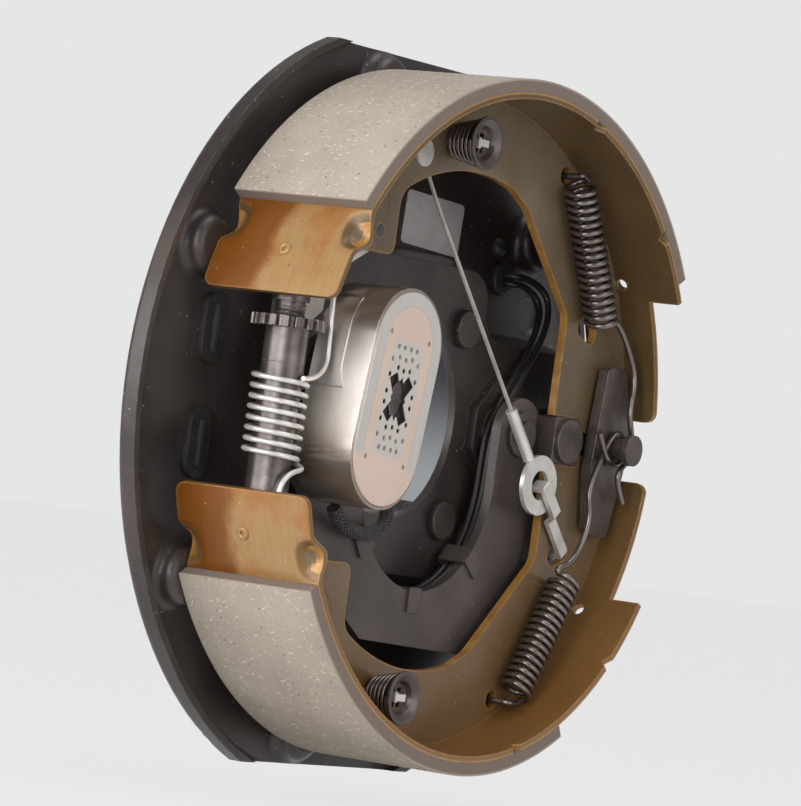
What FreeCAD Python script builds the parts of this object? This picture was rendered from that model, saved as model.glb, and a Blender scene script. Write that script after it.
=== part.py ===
import FreeCAD, Part
import math
import os

# Right-hand trailer drum brake, 10 in by 2-1/4 in, worked by an electromagnet, without its drum.
# Millimetres. The spindle axis runs along Y through the origin. Y = 0 is the face that bolts to the axle
# flange, -Y looks into the open drum, +X points to the anchor post, -X to the adjuster, +Z to the
# secondary shoe and -Z to the primary shoe.

os.makedirs("parts", exist_ok=True)
Vec = FreeCAD.Vector
AXIS_Y = Vec(0, 1, 0)
AXIS_Z = Vec(0, 0, 1)

# Clearances
side_clearance = 0.3
running_clearance = 0.05

# Drum and shoes
drum_diameter = 254.0
drum_clearance = 0.5
shoe_width = 57.15
shoe_rear_y = 4.65
lining_thickness = 4.9
table_thickness = 2.4
web_thickness = 3.2
secondary_lining_span = (32.0, 146.6)
primary_lining_span = (60.0, 148.2)
table_end_half_gap = 34.6
table_wide_end_angle = 28.5
table_tongue_end_angle = 5.6
table_tongue_width = 31.0
table_corner_radius = 4.0
nib_angles = (42.0, 73.0)
nib_width = 8.0
nib_depth = 2.6
table_hole_radius = 2.2
table_hole_angle = 31.5
web_depth = 27.8
web_foot_half_gap = 55.4
web_foot_reach = 55.2
web_foot_corner_radius = 4.0
web_toe_reach = 16.0
web_toe_half_gap = 42.0
web_inner_fillet = 9.0
web_arc_end_x = 24.0
web_shoulder_reach = 70.5
web_shoulder_inset = 8.4
web_knee_reach = 34.0
web_knee_half_gap = 46.5
web_cam_clearance = 1.4
web_end_half_gap = 1.0
hold_down_hole_diameter = 11.0
spring_hole_diameter = 7.0
spring_hole_inset = 5.8
secondary_spring_hole_angle = 59.8
primary_spring_hole_angle = -61.5
wire_hole_diameter = 5.0

# Backing plate
plate_thickness = 3.0
dish_depth = 15.0
rim_reach = 14.4
rim_depth = 8.0
rim_bend_radius = 3.0
plate_flat_inset = 10.0
plateau_half_height = 58.0
plateau_left_x = -60.0
plateau_right_x = 50.0
plateau_corner_radius = 20.0
plateau_step_radius = 12.5
lobe_half_height = 33.0
lobe_reach = 17.0
lobe_corner_radius = 14.0
lobe_fillet = 11.5
draw_draft = 4.5
spindle_hole_diameter = 76.2
secondary_pad_angles = (38.0, 98.0, 156.0)
primary_pad_angles = (-38.0, -98.0, -146.0)
pad_top_radius = 7.0
pad_base_radius = 14.5
plate_dimple_place = (102.0, 47.0)
plate_dimple_radius = 9.0
plate_dimple_depth = 2.4
pivot_boss_shift = 5.0
pivot_boss_half_width = 19.3
pivot_boss_height = 4.0

# Mounting studs
stud_circle_diameter = 101.6
stud_diameter = 11.1
stud_seat_diameter = 12.0
stud_length = 28.0
stud_chamfer = 1.2
stud_head_diameter = 14.6
stud_head_height = 3.4
stud_head_round = 0.8

# Adjuster slots and their plugs
slot_shift = 3.0
slot_height = 20.5
slot_length = 22.0
slot_width = 9.0
plug_lip = 1.6
plug_front = 2.2
plug_rib_width = 2.2
plug_rib_height = 1.4

# Anchor
anchor_inset = 14.2
anchor_diameter = 16.0
anchor_base_diameter = 24.0
anchor_base_height = 3.0
anchor_neck_diameter = 8.6
anchor_head_diameter = 11.8
anchor_head_height = 2.6
anchor_neck_length = 7.6
anchor_plate_thickness = 2.0
anchor_plate_gap = 1.4
anchor_plate_flange = 2.2
anchor_hook_pitch = 3.0
hook_plate_gap = 1.0

# Actuating lever, its pivot and its cam block
lever_thickness = 4.0
lever_web_gap = 4.3
pivot_inset = 44.0
pivot_diameter = 10.0
pivot_end_radius = 13.6
pivot_base_diameter = 20.0
pivot_base_height = 0.8
pivot_spacer_diameter = 12.4
pivot_washer_diameter = 17.0
pivot_washer_thickness = 1.3
pivot_tip = 2.0
lever_opening_centre = (5.5, -21.0)
lever_neck_inset = 13.5
lever_belly_inset = 34.2
block_inset = 25.5
block_size = 17.4
block_front_gap = 1.5
block_disc_diameter = 17.0
block_disc_height = 2.0

# Lead clips on the lever
clip_strip = 1.2
clip_reach = 8.2
clip_width = 7.5
clip_seat_gap = 0.2
clip_angles = (-144.0, -91.0, -40.0)

# Magnet
magnet_reach = 38.6
magnet_height = 4.1
magnet_tilt = 7.9
magnet_length = 79.4
magnet_width = 41.4
magnet_face_y = -47.5
magnet_depth = 25.3
magnet_wall = 1.4
magnet_bore_diameter = 18.0
magnet_bore_depth = 17.0
magnet_post_diameter = 8.0
magnet_post_base_diameter = 11.4
clip_depth = 1.3
clip_thickness = 0.8
clip_half_length = 8.0
clip_half_width = 4.6
cross_arm_width = 5.2
cross_arm_half_length = 9.5
cross_angle = 36.0
magnet_travel = 3.5
follower_wire = 1.4
follower_diameter = 15.0
follower_turns = 4

# Adjuster
adjuster_inset = 17.2
socket_diameter = 15.2
socket_top_z = 11.0
socket_bore_depth = 26.0
screw_pilot_diameter = 9.0
hub_height = 12.2
wheel_diameter = 26.4
wheel_thickness = 3.8
wheel_teeth = 18
tooth_depth = 1.9
screw_diameter = 10.0
screw_length = 13.6
nut_diameter = 13.0
nut_bottom_z = 32.6
fork_depth = 3.6

# Springs
return_wire = 2.3
return_diameter = 13.2
return_pitch = 3.15
adjuster_wire = 1.9
adjuster_spring_diameter = 21.0
adjuster_spring_turns = 7.75
adjuster_spring_top_z = 6.2
adjuster_spring_bottom_z = -22.5
adjuster_arm_reach = 18.0
adjuster_hook_reach = 7.0
adjuster_wire_half_gap = 62.0
hold_wire = 1.6
hold_spring_turns = 5.5
hold_spring_length = 13.5
hold_spring_rear_diameter = 13.2
hold_spring_front_diameter = 18.4

# Shoe hold-downs
secondary_hold_angle = 100.4
secondary_hold_inset = 16.8
primary_hold_angle = -103.4
primary_hold_inset = 15.4
hold_pin_diameter = 4.0
hold_pin_head_diameter = 9.0
hold_pin_head_height = 1.4
hold_bar_length = 6.4
hold_bar_width = 2.6
hold_bar_thickness = 1.8
cup_diameter = 19.6
cup_lip = 1.4
cup_throat_diameter = 12.6
cup_throat_depth = 1.3
cup_floor_diameter = 10.4
cup_depth = 4.6
cup_wall = 1.0

# Self-adjusting cable
guide_angle = 111.5
guide_inset = 18.2
guide_groove_radius = 7.4
guide_thickness = 4.0
guide_gap = 2.6
guide_hub_diameter = 8.0
guide_head_diameter = 10.0
guide_head_height = 1.2
cable_diameter = 1.6
ferrule_diameter = 4.4
ferrule_length = 22.0
cable_bend_run = 24.0
button_diameter = 5.0
button_height = 3.6
button_peg_diameter = 2.8
eyelet_inset = 43.4
eyelet_drop = 18.0
eyelet_diameter = 22.6
eyelet_hole_diameter = 11.0
eyelet_thickness = 1.8
eyelet_mid_y = -28.6
hook_width = 4.8
hook_thickness = 2.0
hook_hole_inset = 19.5
hook_hole_half_gap = 42.5
hook_hole_width = 7.4
hook_hole_length = 13.0
hook_hole_lean = -22.0
hook_reach = 9.5
hook_play = 3.4
hook_lead = 1.9
hook_side_shift = 0.6
hook_tip = 4.6

# Adjuster lever (pawl) on the secondary shoe
pawl_pivot_reach = 45.0
pawl_pivot_half_gap = 63.0
pawl_cable_offset = (-10.5, 7.0)
pawl_gap = 0.3
pawl_thickness = 2.0
pawl_pin_diameter = 5.0
pawl_pin_head_diameter = 8.0
pawl_pin_head_height = 1.6

# Magnet leads
lead_diameter = 2.6
lead_spacing = 2.9
sleeve_diameter = 5.4
grommet_angle = 37.22678
grommet_inset = 22.49809
grommet_diameter = 13.0
grommet_neck_diameter = 9.0
grommet_height = 3.0
hole_plug_offset = (-4.0, 11.5)
hole_plug_diameter = 7.4
label_corner = (9.0, 64.4)
label_size = (38.0, 20.0)
label_thickness = 0.3
label_lean = 2.5



def around_spindle(radius, degrees):
    """X and Z of the point at a radius and an angle from +X towards +Z."""
    angle = math.radians(degrees)
    return radius * math.cos(angle), radius * math.sin(angle)


# Sizes that follow from the ones above
lining_radius = drum_diameter / 2 - drum_clearance
table_radius = lining_radius - lining_thickness
web_radius = table_radius - table_thickness
web_inner_radius = web_radius - web_depth
rim_diameter = drum_diameter + 2 * rim_reach
plate_flat_height = rim_diameter / 2 - plate_flat_inset
anchor_x = web_radius - anchor_inset
adjuster_x = adjuster_inset - web_radius
lobe_end_x = anchor_x + lobe_reach
pivot_x = anchor_x - pivot_inset
pivot_boss_x = pivot_x + pivot_boss_shift
block_x = anchor_x - block_inset
lever_opening_radius = pivot_x - lever_neck_inset - lever_opening_centre[0]
lever_belly_z = lever_belly_inset - web_radius
magnet_place = (adjuster_x + magnet_reach, magnet_height)
slot_x = adjuster_x + slot_shift
web_toe_x = adjuster_x + web_toe_reach
web_foot_x = adjuster_x + web_foot_reach
web_shoulder = (anchor_x - web_shoulder_reach, web_inner_radius - web_shoulder_inset)
web_knee = (anchor_x - web_knee_reach, web_knee_half_gap)
secondary_spring_hole = around_spindle(web_radius - spring_hole_inset, secondary_spring_hole_angle)
primary_spring_hole = around_spindle(web_radius - spring_hole_inset, primary_spring_hole_angle)
secondary_hold_place = around_spindle(web_radius - secondary_hold_inset, secondary_hold_angle)
primary_hold_place = around_spindle(web_radius - primary_hold_inset, primary_hold_angle)
guide_place = around_spindle(web_radius - guide_inset, guide_angle)
grommet_place = around_spindle(web_radius - grommet_inset, grommet_angle)
hole_plug_place = (grommet_place[0] + hole_plug_offset[0], grommet_place[1] + hole_plug_offset[1])
adjuster_arm_place = (adjuster_x + adjuster_arm_reach, adjuster_wire_half_gap)
adjuster_hook_place = (adjuster_x + adjuster_hook_reach, -adjuster_wire_half_gap)
eyelet_place = (anchor_x - eyelet_inset, -eyelet_drop)
hook_hole_place = (anchor_x - hook_hole_inset, hook_hole_half_gap)
pawl_pivot = (adjuster_x + pawl_pivot_reach, pawl_pivot_half_gap)
pawl_cable_place = (pawl_pivot[0] + pawl_cable_offset[0], pawl_pivot[1] + pawl_cable_offset[1])
shoe_front_y = shoe_rear_y - shoe_width
shoe_mid_y = shoe_rear_y - shoe_width / 2
web_front_y = shoe_mid_y - web_thickness / 2
web_rear_y = shoe_mid_y + web_thickness / 2
plateau_front_y = -plate_thickness
pan_rear_y = dish_depth
pan_front_y = dish_depth - plate_thickness
pivot_boss_y = plateau_front_y - pivot_boss_height
lever_front_y = web_rear_y + lever_web_gap
lever_rear_y = lever_front_y + lever_thickness
block_front_y = web_front_y - block_front_gap
block_half = block_size / 2
anchor_plate_rear_y = web_front_y - anchor_plate_gap - anchor_plate_flange
anchor_plate_front_y = anchor_plate_rear_y - anchor_plate_thickness
anchor_neck_end_y = anchor_plate_front_y - anchor_neck_length
magnet_rear_y = magnet_face_y + magnet_depth
wheel_bottom_z = socket_top_z + hub_height
wheel_top_z = wheel_bottom_z + wheel_thickness
fork_floor = web_toe_half_gap - side_clearance
fork_tip = fork_floor + fork_depth
return_axis_y = web_front_y - return_diameter / 2 - 0.5
hold_cup_front_y = web_front_y - side_clearance - hold_spring_length - cup_wall
guide_mid_y = web_rear_y + guide_gap + guide_thickness / 2
guide_rim_radius = guide_groove_radius + guide_thickness / 2
guide_cable_radius = guide_groove_radius + (cable_diameter / 2 + running_clearance) * math.sqrt(2)




def box(x0, x1, y0, y1, z0, z1):
    """Block between two corners."""
    return Part.makeBox(x1 - x0, y1 - y0, z1 - z0, Vec(x0, y0, z0))


def disc_y(place, diameter, y0, y1):
    """Round solid along Y between two depths."""
    return Part.makeCylinder(diameter / 2, y1 - y0, Vec(place[0], y0, place[1]), AXIS_Y)


def rims_at(shape, y):
    """Whole-circle edges of a shape that lie at depth y."""
    return [edge for edge in shape.Edges if len(edge.Vertexes) == 1 and abs(edge.CenterOfMass.y - y) < 0.01]


def disc_z(x, y, diameter, z0, z1):
    """Round solid along Z between two heights."""
    return Part.makeCylinder(diameter / 2, z1 - z0, Vec(x, y, z0), AXIS_Z)


def rounded_edges(corners, y, closed):
    """Lines and arcs at depth y through (x, z, radius) corners, each rounded by its own radius."""
    points = [Vec(x, y, z) for x, z, _ in corners]
    count = len(corners)
    starts = list(points)
    ends = list(points)
    mids = [None] * count
    for i in range(count):
        radius = corners[i][2]
        if radius == 0:
            continue
        here = points[i]
        back = (points[i - 1] - here).normalize()
        ahead = (points[(i + 1) % count] - here).normalize()
        half = back.getAngle(ahead) / 2
        reach = radius / math.tan(half)
        bisector = (back + ahead).normalize()
        starts[i] = here + back * reach
        ends[i] = here + ahead * reach
        mids[i] = here + bisector * (radius / math.sin(half) - radius)
    edges = []
    for i in range(count):
        if mids[i] is not None:
            edges.append(Part.Arc(starts[i], mids[i], ends[i]).toShape())
        last = i == count - 1
        following = (i + 1) % count
        if (closed or not last) and ends[i].distanceToPoint(starts[following]) > 1e-6:
            edges.append(Part.LineSegment(ends[i], starts[following]).toShape())
    return edges


def rounded_wire(corners, y):
    """Closed outline at depth y through (x, z, radius) corners."""
    return Part.Wire(rounded_edges(corners, y, True))


def plate_from(corners, y0, y1):
    """Flat solid with a rounded outline, between two depths."""
    return Part.Face(rounded_wire(corners, y0)).extrude(Vec(0, y1 - y0, 0))


def obround(place, length, width, y0, y1, tilt=0.0):
    """Racetrack solid along Y, long axis Z, leaning by tilt degrees from +Z towards +X."""
    radius = width / 2
    run = length / 2 - radius
    corners = [Vec(-radius, y0, -run), Vec(-radius, y0, run), Vec(0, y0, run + radius), Vec(radius, y0, run),
               Vec(radius, y0, -run), Vec(0, y0, -run - radius)]
    edges = [
        Part.LineSegment(corners[0], corners[1]).toShape(),
        Part.Arc(corners[1], corners[2], corners[3]).toShape(),
        Part.LineSegment(corners[3], corners[4]).toShape(),
        Part.Arc(corners[4], corners[5], corners[0]).toShape(),
    ]
    solid = Part.Face(Part.Wire(edges)).extrude(Vec(0, y1 - y0, 0))
    solid.rotate(Vec(0, 0, 0), AXIS_Y, tilt)
    solid.translate(Vec(place[0], 0, place[1]))
    return solid


def polar(radius, degrees, y):
    """Point at a radius and an angle from +X towards +Z."""
    angle = math.radians(degrees)
    return Vec(radius * math.cos(angle), y, radius * math.sin(angle))


def ring_sector(inner, outer, start, end, y0, y1):
    """Part of a ring round the spindle axis, from one angle to another."""
    middle = (start + end) / 2
    edges = [
        Part.Arc(polar(outer, start, y0), polar(outer, middle, y0), polar(outer, end, y0)).toShape(),
        Part.LineSegment(polar(outer, end, y0), polar(inner, end, y0)).toShape(),
        Part.Arc(polar(inner, end, y0), polar(inner, middle, y0), polar(inner, start, y0)).toShape(),
        Part.LineSegment(polar(inner, start, y0), polar(outer, start, y0)).toShape(),
    ]
    return Part.Face(Part.Wire(edges)).extrude(Vec(0, y1 - y0, 0))


def mirrored(shape):
    """The same shape on the primary side."""
    return shape.mirror(Vec(0, 0, 0), AXIS_Z)


def route_wire(points, share=0.45):
    """Straight runs joined by tangent arcs. Returns the wire and the arcs' radii."""
    edges = []
    radii = []
    start = points[0]
    for i in range(1, len(points) - 1):
        here = points[i]
        back = points[i - 1] - here
        ahead = points[i + 1] - here
        reach = share * min(back.Length, ahead.Length)
        half = back.getAngle(ahead) / 2
        radius = reach * math.tan(half)
        back.normalize()
        ahead.normalize()
        bisector = (back + ahead).normalize()
        first = here + back * reach
        last = here + ahead * reach
        middle = here + bisector * (radius / math.sin(half) - radius)
        edges.append(Part.LineSegment(start, first).toShape())
        edges.append(Part.Arc(first, middle, last).toShape())
        radii.append(radius)
        start = last
    edges.append(Part.LineSegment(start, points[-1]).toShape())
    return Part.Wire(edges), radii


def tube(points, diameter, share=0.45):
    """Round wire or lead along a route."""
    path, _ = route_wire(points, share)
    direction = points[1] - points[0]
    ring = Part.Wire(Part.Circle(points[0], direction, diameter / 2).toShape())
    return path.makePipeShell([ring], True, False)


def coil(diameter, wire, turns, length, end_diameter=None):
    """Spring along +Z from the origin, straight or conical, with a six-sided section about as thick as its wire."""
    radius = (diameter - wire) / 2
    spread = 0 if end_diameter is None else math.degrees(math.atan2((end_diameter - diameter) / 2, length))
    helix = Part.makeHelix(length / turns, length, radius, spread)
    section = [Vec(radius + wire / 2 * math.cos(math.radians(60 * i)), 0, wire / 2 * math.sin(math.radians(60 * i)))
               for i in range(6)]
    ring = Part.makePolygon(section + [section[0]])
    return Part.Wire(helix).makePipeShell([ring], True, True)


def aligned(shape, start, end):
    """Turn a shape that lies along +Z so that it runs from start towards end."""
    shape.Placement = FreeCAD.Placement(start, FreeCAD.Rotation(AXIS_Z, end - start))
    return shape


def save(name, shape):
    """Write one sub-part."""
    shape.exportStep(os.path.join("parts", name + ".step"))


def plateau_corners(grow):
    """Outline of the raised middle of the plate, grown outwards by grow."""
    top = plateau_half_height + grow
    lobe = lobe_half_height + grow
    left = plateau_left_x - grow
    right = plateau_right_x + grow
    end = lobe_end_x + grow
    outer = plateau_corner_radius + grow
    step = plateau_step_radius + grow
    tip = lobe_corner_radius + grow
    inner = lobe_fillet - grow
    return [(left, -top, outer), (left, top, outer), (right, top, step), (right, lobe, inner),
            (end, lobe, tip), (end, -lobe, tip), (right, -lobe, inner), (right, -top, step)]


def drawn_plateau(front_y, front_grow, back_y, back_grow):
    """Solid between the plateau's outline at the front and the wider one where the draw ends."""
    front = rounded_wire(plateau_corners(front_grow), front_y)
    back = rounded_wire(plateau_corners(back_grow), back_y)
    return Part.makeLoft([front, back], True, True)


def pressed_dome(top_radius, base_radius, base_y, top_y):
    """Flat-topped solid of revolution whose side flows in two equal tangent arcs from its base to its top."""
    rise = (base_y - top_y) / 2
    run = (base_radius - top_radius) / 2
    turn = math.atan(rise / run)
    bend = run / math.sin(2 * turn)
    across = bend * math.sin(turn)
    along = bend * (1 - math.cos(turn))
    base = Vec(base_radius, base_y, 0)
    top = Vec(top_radius, top_y, 0)
    joint = (base + top) * 0.5
    profile = [
        Part.LineSegment(Vec(0, base_y, 0), base).toShape(),
        Part.Arc(base, base + Vec(-across, -along, 0), joint).toShape(),
        Part.Arc(joint, top + Vec(across, along, 0), top).toShape(),
        Part.LineSegment(top, Vec(0, top_y, 0)).toShape(),
        Part.LineSegment(Vec(0, top_y, 0), Vec(0, base_y, 0)).toShape(),
    ]
    return Part.Face(Part.Wire(profile)).revolve(Vec(0, 0, 0), AXIS_Y, 360)


def raised_pad(angle):
    """Round pad pressed out of the plate, where a shoe's rear edge slides, and its hollow back."""
    thinned = plate_thickness / 2
    pad_top = shoe_rear_y + side_clearance
    outside = pressed_dome(pad_top_radius, pad_base_radius, pan_front_y, pad_top)
    inside = pressed_dome(pad_top_radius - thinned, pad_base_radius - thinned, pan_rear_y, pad_top + plate_thickness)
    place = polar((table_radius + web_radius) / 2, angle, 0)
    outside.translate(place)
    inside.translate(place)
    return outside, inside


def make_backing_plate():
    """Pressed plate: flat outer band with a forward rim, deep-drawn middle, pads and holes."""
    rim_radius = rim_diameter / 2
    front = pan_rear_y - rim_depth
    inner = rim_radius - plate_thickness
    bend = rim_bend_radius
    profile = [
        Part.LineSegment(Vec(0, pan_front_y, 0), Vec(inner - bend, pan_front_y, 0)).toShape(),
        Part.Arc(Vec(inner - bend, pan_front_y, 0),
                 Vec(inner - bend * (1 - math.sin(math.pi / 4)), pan_front_y - bend * (1 - math.cos(math.pi / 4)), 0),
                 Vec(inner, pan_front_y - bend, 0)).toShape(),
        Part.LineSegment(Vec(inner, pan_front_y - bend, 0), Vec(inner, front, 0)).toShape(),
        Part.LineSegment(Vec(inner, front, 0), Vec(rim_radius, front, 0)).toShape(),
        Part.LineSegment(Vec(rim_radius, front, 0), Vec(rim_radius, pan_rear_y - bend, 0)).toShape(),
        Part.Arc(Vec(rim_radius, pan_rear_y - bend, 0),
                 Vec(rim_radius - bend * (1 - math.cos(math.pi / 4)), pan_rear_y - bend * (1 - math.sin(math.pi / 4)), 0),
                 Vec(rim_radius - bend, pan_rear_y, 0)).toShape(),
        Part.LineSegment(Vec(rim_radius - bend, pan_rear_y, 0), Vec(0, pan_rear_y, 0)).toShape(),
        Part.LineSegment(Vec(0, pan_rear_y, 0), Vec(0, pan_front_y, 0)).toShape(),
    ]
    plate = Part.Face(Part.Wire(profile)).revolve(Vec(0, 0, 0), AXIS_Y, 360)
    plate = plate.fuse(drawn_plateau(plateau_front_y, 0, pan_front_y, draw_draft))
    hollows = [drawn_plateau(0, -plate_thickness, pan_rear_y, draw_draft - plate_thickness)]
    for angle in secondary_pad_angles + primary_pad_angles:
        outside, inside = raised_pad(angle)
        plate = plate.fuse(outside)
        hollows.append(inside)
    plate = plate.common(box(-rim_radius, rim_radius, 2 * pivot_boss_y, pan_rear_y + 1, -plate_flat_height,
                             plate_flat_height))
    boss_half = pivot_boss_half_width
    boss_cut = boss_half * (2 - math.sqrt(2))
    boss = [(pivot_boss_x + sx * x, sz * z, 1.5) for sx, sz, x, z in (
        (-1, -1, boss_half, boss_half - boss_cut), (-1, 1, boss_half, boss_half - boss_cut),
        (-1, 1, boss_half - boss_cut, boss_half), (1, 1, boss_half - boss_cut, boss_half),
        (1, 1, boss_half, boss_half - boss_cut), (1, -1, boss_half, boss_half - boss_cut),
        (1, -1, boss_half - boss_cut, boss_half), (-1, -1, boss_half - boss_cut, boss_half))]
    plate = plate.fuse(plate_from(boss, pivot_boss_y, plateau_front_y + 0.5))
    for side in (1, -1):
        x, z = plate_dimple_place
        plate = plate.cut(Part.makeCone(plate_dimple_radius, plate_dimple_radius - plate_dimple_depth,
                                        plate_dimple_depth, Vec(x, pan_front_y, side * z), AXIS_Y))
    for hollow in hollows:
        plate = plate.cut(hollow)
    plate = plate.cut(disc_y((0, 0), spindle_hole_diameter, plateau_front_y - 1, 1))
    for x, z in stud_places():
        plate = plate.cut(disc_y((x, z), stud_seat_diameter, plateau_front_y - 1, 1))
    for side in (1, -1):
        plate = plate.cut(obround((slot_x, side * slot_height), slot_length, slot_width, pan_front_y - 1, pan_rear_y + 1))
    for place in (secondary_hold_place, primary_hold_place):
        plate = plate.cut(disc_y(place, hold_pin_diameter + 2 * side_clearance, pan_front_y - 1, pan_rear_y + 1))
    plate = plate.cut(disc_y(grommet_place, grommet_neck_diameter, pan_front_y - 1, pan_rear_y + 1))
    plate = plate.cut(disc_y(hole_plug_place, hole_plug_diameter - 2, pan_front_y - 1, pan_rear_y + 1))
    plate = plate.cut(disc_y((pivot_x, 0), pivot_diameter, pivot_boss_y - 1, 1))
    plate = plate.cut(disc_y((anchor_x, 0), anchor_diameter, plateau_front_y - 1, 1))
    return plate.removeSplitter()


def stud_places():
    """Centres of the four mounting studs."""
    half = stud_circle_diameter / 2 * math.sqrt(0.5)
    return [(sx * half, sz * half) for sx in (1, -1) for sz in (1, -1)]


def make_studs():
    """Four studs: a round head on the drum side, a seat pressed into the plate and a plain shank behind it."""
    solids = []
    front = plateau_front_y - stud_head_height
    for place in stud_places():
        head = disc_y(place, stud_head_diameter, front, plateau_front_y)
        head = head.makeFillet(stud_head_round, rims_at(head, front))
        seat = disc_y(place, stud_seat_diameter, plateau_front_y, 0)
        shank = disc_y(place, stud_diameter, 0, stud_length)
        shank = shank.makeChamfer(stud_chamfer, rims_at(shank, stud_length))
        solids.append(head.fuse([seat, shank]).removeSplitter())
    return Part.makeCompound(solids)


def make_slot_plug(side):
    """Rubber plug that closes one adjuster slot."""
    place = (slot_x, side * slot_height)
    lip_length = slot_length + 2 * plug_lip
    lip_width = slot_width + 2 * plug_lip
    plug = obround(place, slot_length, slot_width, pan_front_y, pan_rear_y)
    plug = plug.fuse(obround(place, lip_length, lip_width, pan_front_y - plug_front, pan_front_y))
    plug = plug.fuse(obround(place, lip_length, lip_width, pan_rear_y, pan_rear_y + plug_lip))
    rib_front = pan_front_y - plug_front - plug_rib_height
    plug = plug.fuse(obround(place, slot_length - slot_width / 2, plug_rib_width, rib_front, pan_front_y))
    return plug.removeSplitter()


def make_grommet():
    """Rubber grommet in the plate where the two leads come through."""
    body = disc_y(grommet_place, grommet_neck_diameter, pan_front_y, pan_rear_y)
    body = body.fuse(disc_y(grommet_place, grommet_diameter, pan_front_y - grommet_height, pan_front_y))
    body = body.fuse(disc_y(grommet_place, grommet_diameter, pan_rear_y, pan_rear_y + plug_lip)).removeSplitter()
    body = body.makeFillet(1.2, rims_at(body, pan_front_y - grommet_height))
    for side in (1, -1):
        lead_place = (grommet_place[0], grommet_place[1] + side * lead_spacing / 2)
        body = body.cut(disc_y(lead_place, lead_diameter + 2 * running_clearance, 0, 20))
    return body


def make_hole_plug():
    """Domed button that closes the second lead hole."""
    radius = hole_plug_diameter / 2
    dome = Part.makeSphere(radius, Vec(hole_plug_place[0], pan_front_y, hole_plug_place[1]))
    dome = dome.common(disc_y(hole_plug_place, hole_plug_diameter * 2, pan_front_y - radius, pan_front_y))
    return dome.fuse(disc_y(hole_plug_place, hole_plug_diameter - 2, pan_front_y, pan_rear_y)).removeSplitter()


def make_anchor_post():
    """Shouldered anchor pin riveted into the plate, with a neck and a head for the spring hooks."""
    place = (anchor_x, 0)
    post = disc_y(place, anchor_diameter, anchor_plate_rear_y, 0)
    post = post.fuse(disc_y(place, anchor_base_diameter, plateau_front_y - anchor_base_height, plateau_front_y))
    post = post.fuse(disc_y(place, anchor_neck_diameter, anchor_neck_end_y, anchor_plate_rear_y))
    head = disc_y(place, anchor_head_diameter, anchor_neck_end_y - anchor_head_height, anchor_neck_end_y)
    return post.fuse(head).removeSplitter()


def make_anchor_plate():
    """Pressed keeper on the anchor post with one edge flanged back towards the webs."""
    corners = [(-9.0, 30.0, 2), (3.5, 30.5, 3), (11.6, 5.0, 6), (10.5, -8.0, 6), (4.0, -34.5, 3), (-8.4, -33.5, 3),
               (-12.8, -8.0, 4), (-11.6, 6.0, 4)]
    outline = [(anchor_x + x, z, radius) for x, z, radius in corners]
    plate = plate_from(outline, anchor_plate_front_y, anchor_plate_rear_y)
    behind = [(x - 0.02, z, r) for x, z, r in outline]
    flange = plate_from(behind, anchor_plate_rear_y - 0.5, anchor_plate_rear_y + anchor_plate_flange)
    keep = [(x + anchor_plate_thickness, z, r) for x, z, r in outline]
    flange = flange.cut(plate_from(keep, anchor_plate_rear_y - 2, anchor_plate_rear_y + anchor_plate_flange + 1))
    flange = flange.common(box(anchor_x - 25, anchor_x - 5, -60, 0, -32, 29))
    plate = plate.fuse(flange)
    plate = plate.cut(disc_y((anchor_x, 0), anchor_neck_diameter, anchor_plate_front_y - 1, anchor_plate_rear_y))
    plate = plate.cut(disc_y((anchor_x, 0), anchor_diameter + 2 * side_clearance, anchor_plate_rear_y,
                             anchor_plate_rear_y + anchor_plate_flange + 1))
    return plate.removeSplitter()


def make_pivot_post():
    """Riveted pivot pin that carries the actuating lever."""
    place = (pivot_x, 0)
    tip = lever_front_y - side_clearance - pivot_washer_thickness - pivot_tip
    post = disc_y(place, pivot_diameter, tip, 0)
    post = post.fuse(disc_y(place, pivot_base_diameter, pivot_boss_y - pivot_base_height, pivot_boss_y))
    post = post.fuse(disc_y(place, pivot_spacer_diameter, lever_rear_y + side_clearance, pivot_boss_y))
    return post.removeSplitter()


def make_pivot_washer():
    """Retaining washer on the pivot pin in front of the lever."""
    front = lever_front_y - side_clearance - pivot_washer_thickness
    ring = disc_y((pivot_x, 0), pivot_washer_diameter, front, lever_front_y - side_clearance)
    return ring.cut(disc_y((pivot_x, 0), pivot_diameter, front - 1, 0))


def make_lever():
    """Actuating lever: a broad plate that curves below the spindle from the cam end to the magnet."""
    cx, cz = lever_opening_centre
    reach = lever_opening_radius
    tongue = block_x + block_half
    mx, mz = magnet_place
    low = lever_belly_z
    outline = [
        (tongue, block_half, 2), (tongue, -block_half, 0), (tongue, low + 45.0, 10), (pivot_x - 9.0, low, 8),
        (mx + 38.1, low + 2.7, 5), (mx + 24.4, low + 11.5, 8), (mx + 7.4, low + 28.5, 20), (mx - 4.6, mz - 39.1, 20),
        (mx - 17.6, mz - 28.1, 8), (mx - 17.6, mz + 19.9, 14), (mx + 17.4, mz + 19.9, 14), (mx + 19.4, mz - 14.1, 8),
        (cx - 30.0, -18.0, 4), (cx - 25.0, cz, 0), (cx + reach, cz, 0), (cx + reach, 0, 0), (pivot_x, 0, 0),
        (pivot_x, block_half, 0),
    ]
    plate = plate_from(outline, lever_front_y, lever_rear_y)
    end = disc_y((pivot_x, 0), 2 * pivot_end_radius, lever_front_y, lever_rear_y)
    plate = plate.fuse(end)
    opening = disc_y((cx, cz), 2 * reach, lever_front_y - 1, lever_rear_y + 1)
    opening = opening.cut(disc_y((pivot_x, 0), 2 * pivot_end_radius, lever_front_y - 2, lever_rear_y + 2))
    plate = plate.cut(opening)
    plate = plate.cut(disc_y((pivot_x, 0), pivot_diameter + 2 * running_clearance, lever_front_y - 1, lever_rear_y + 1))
    return plate.removeSplitter()


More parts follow.
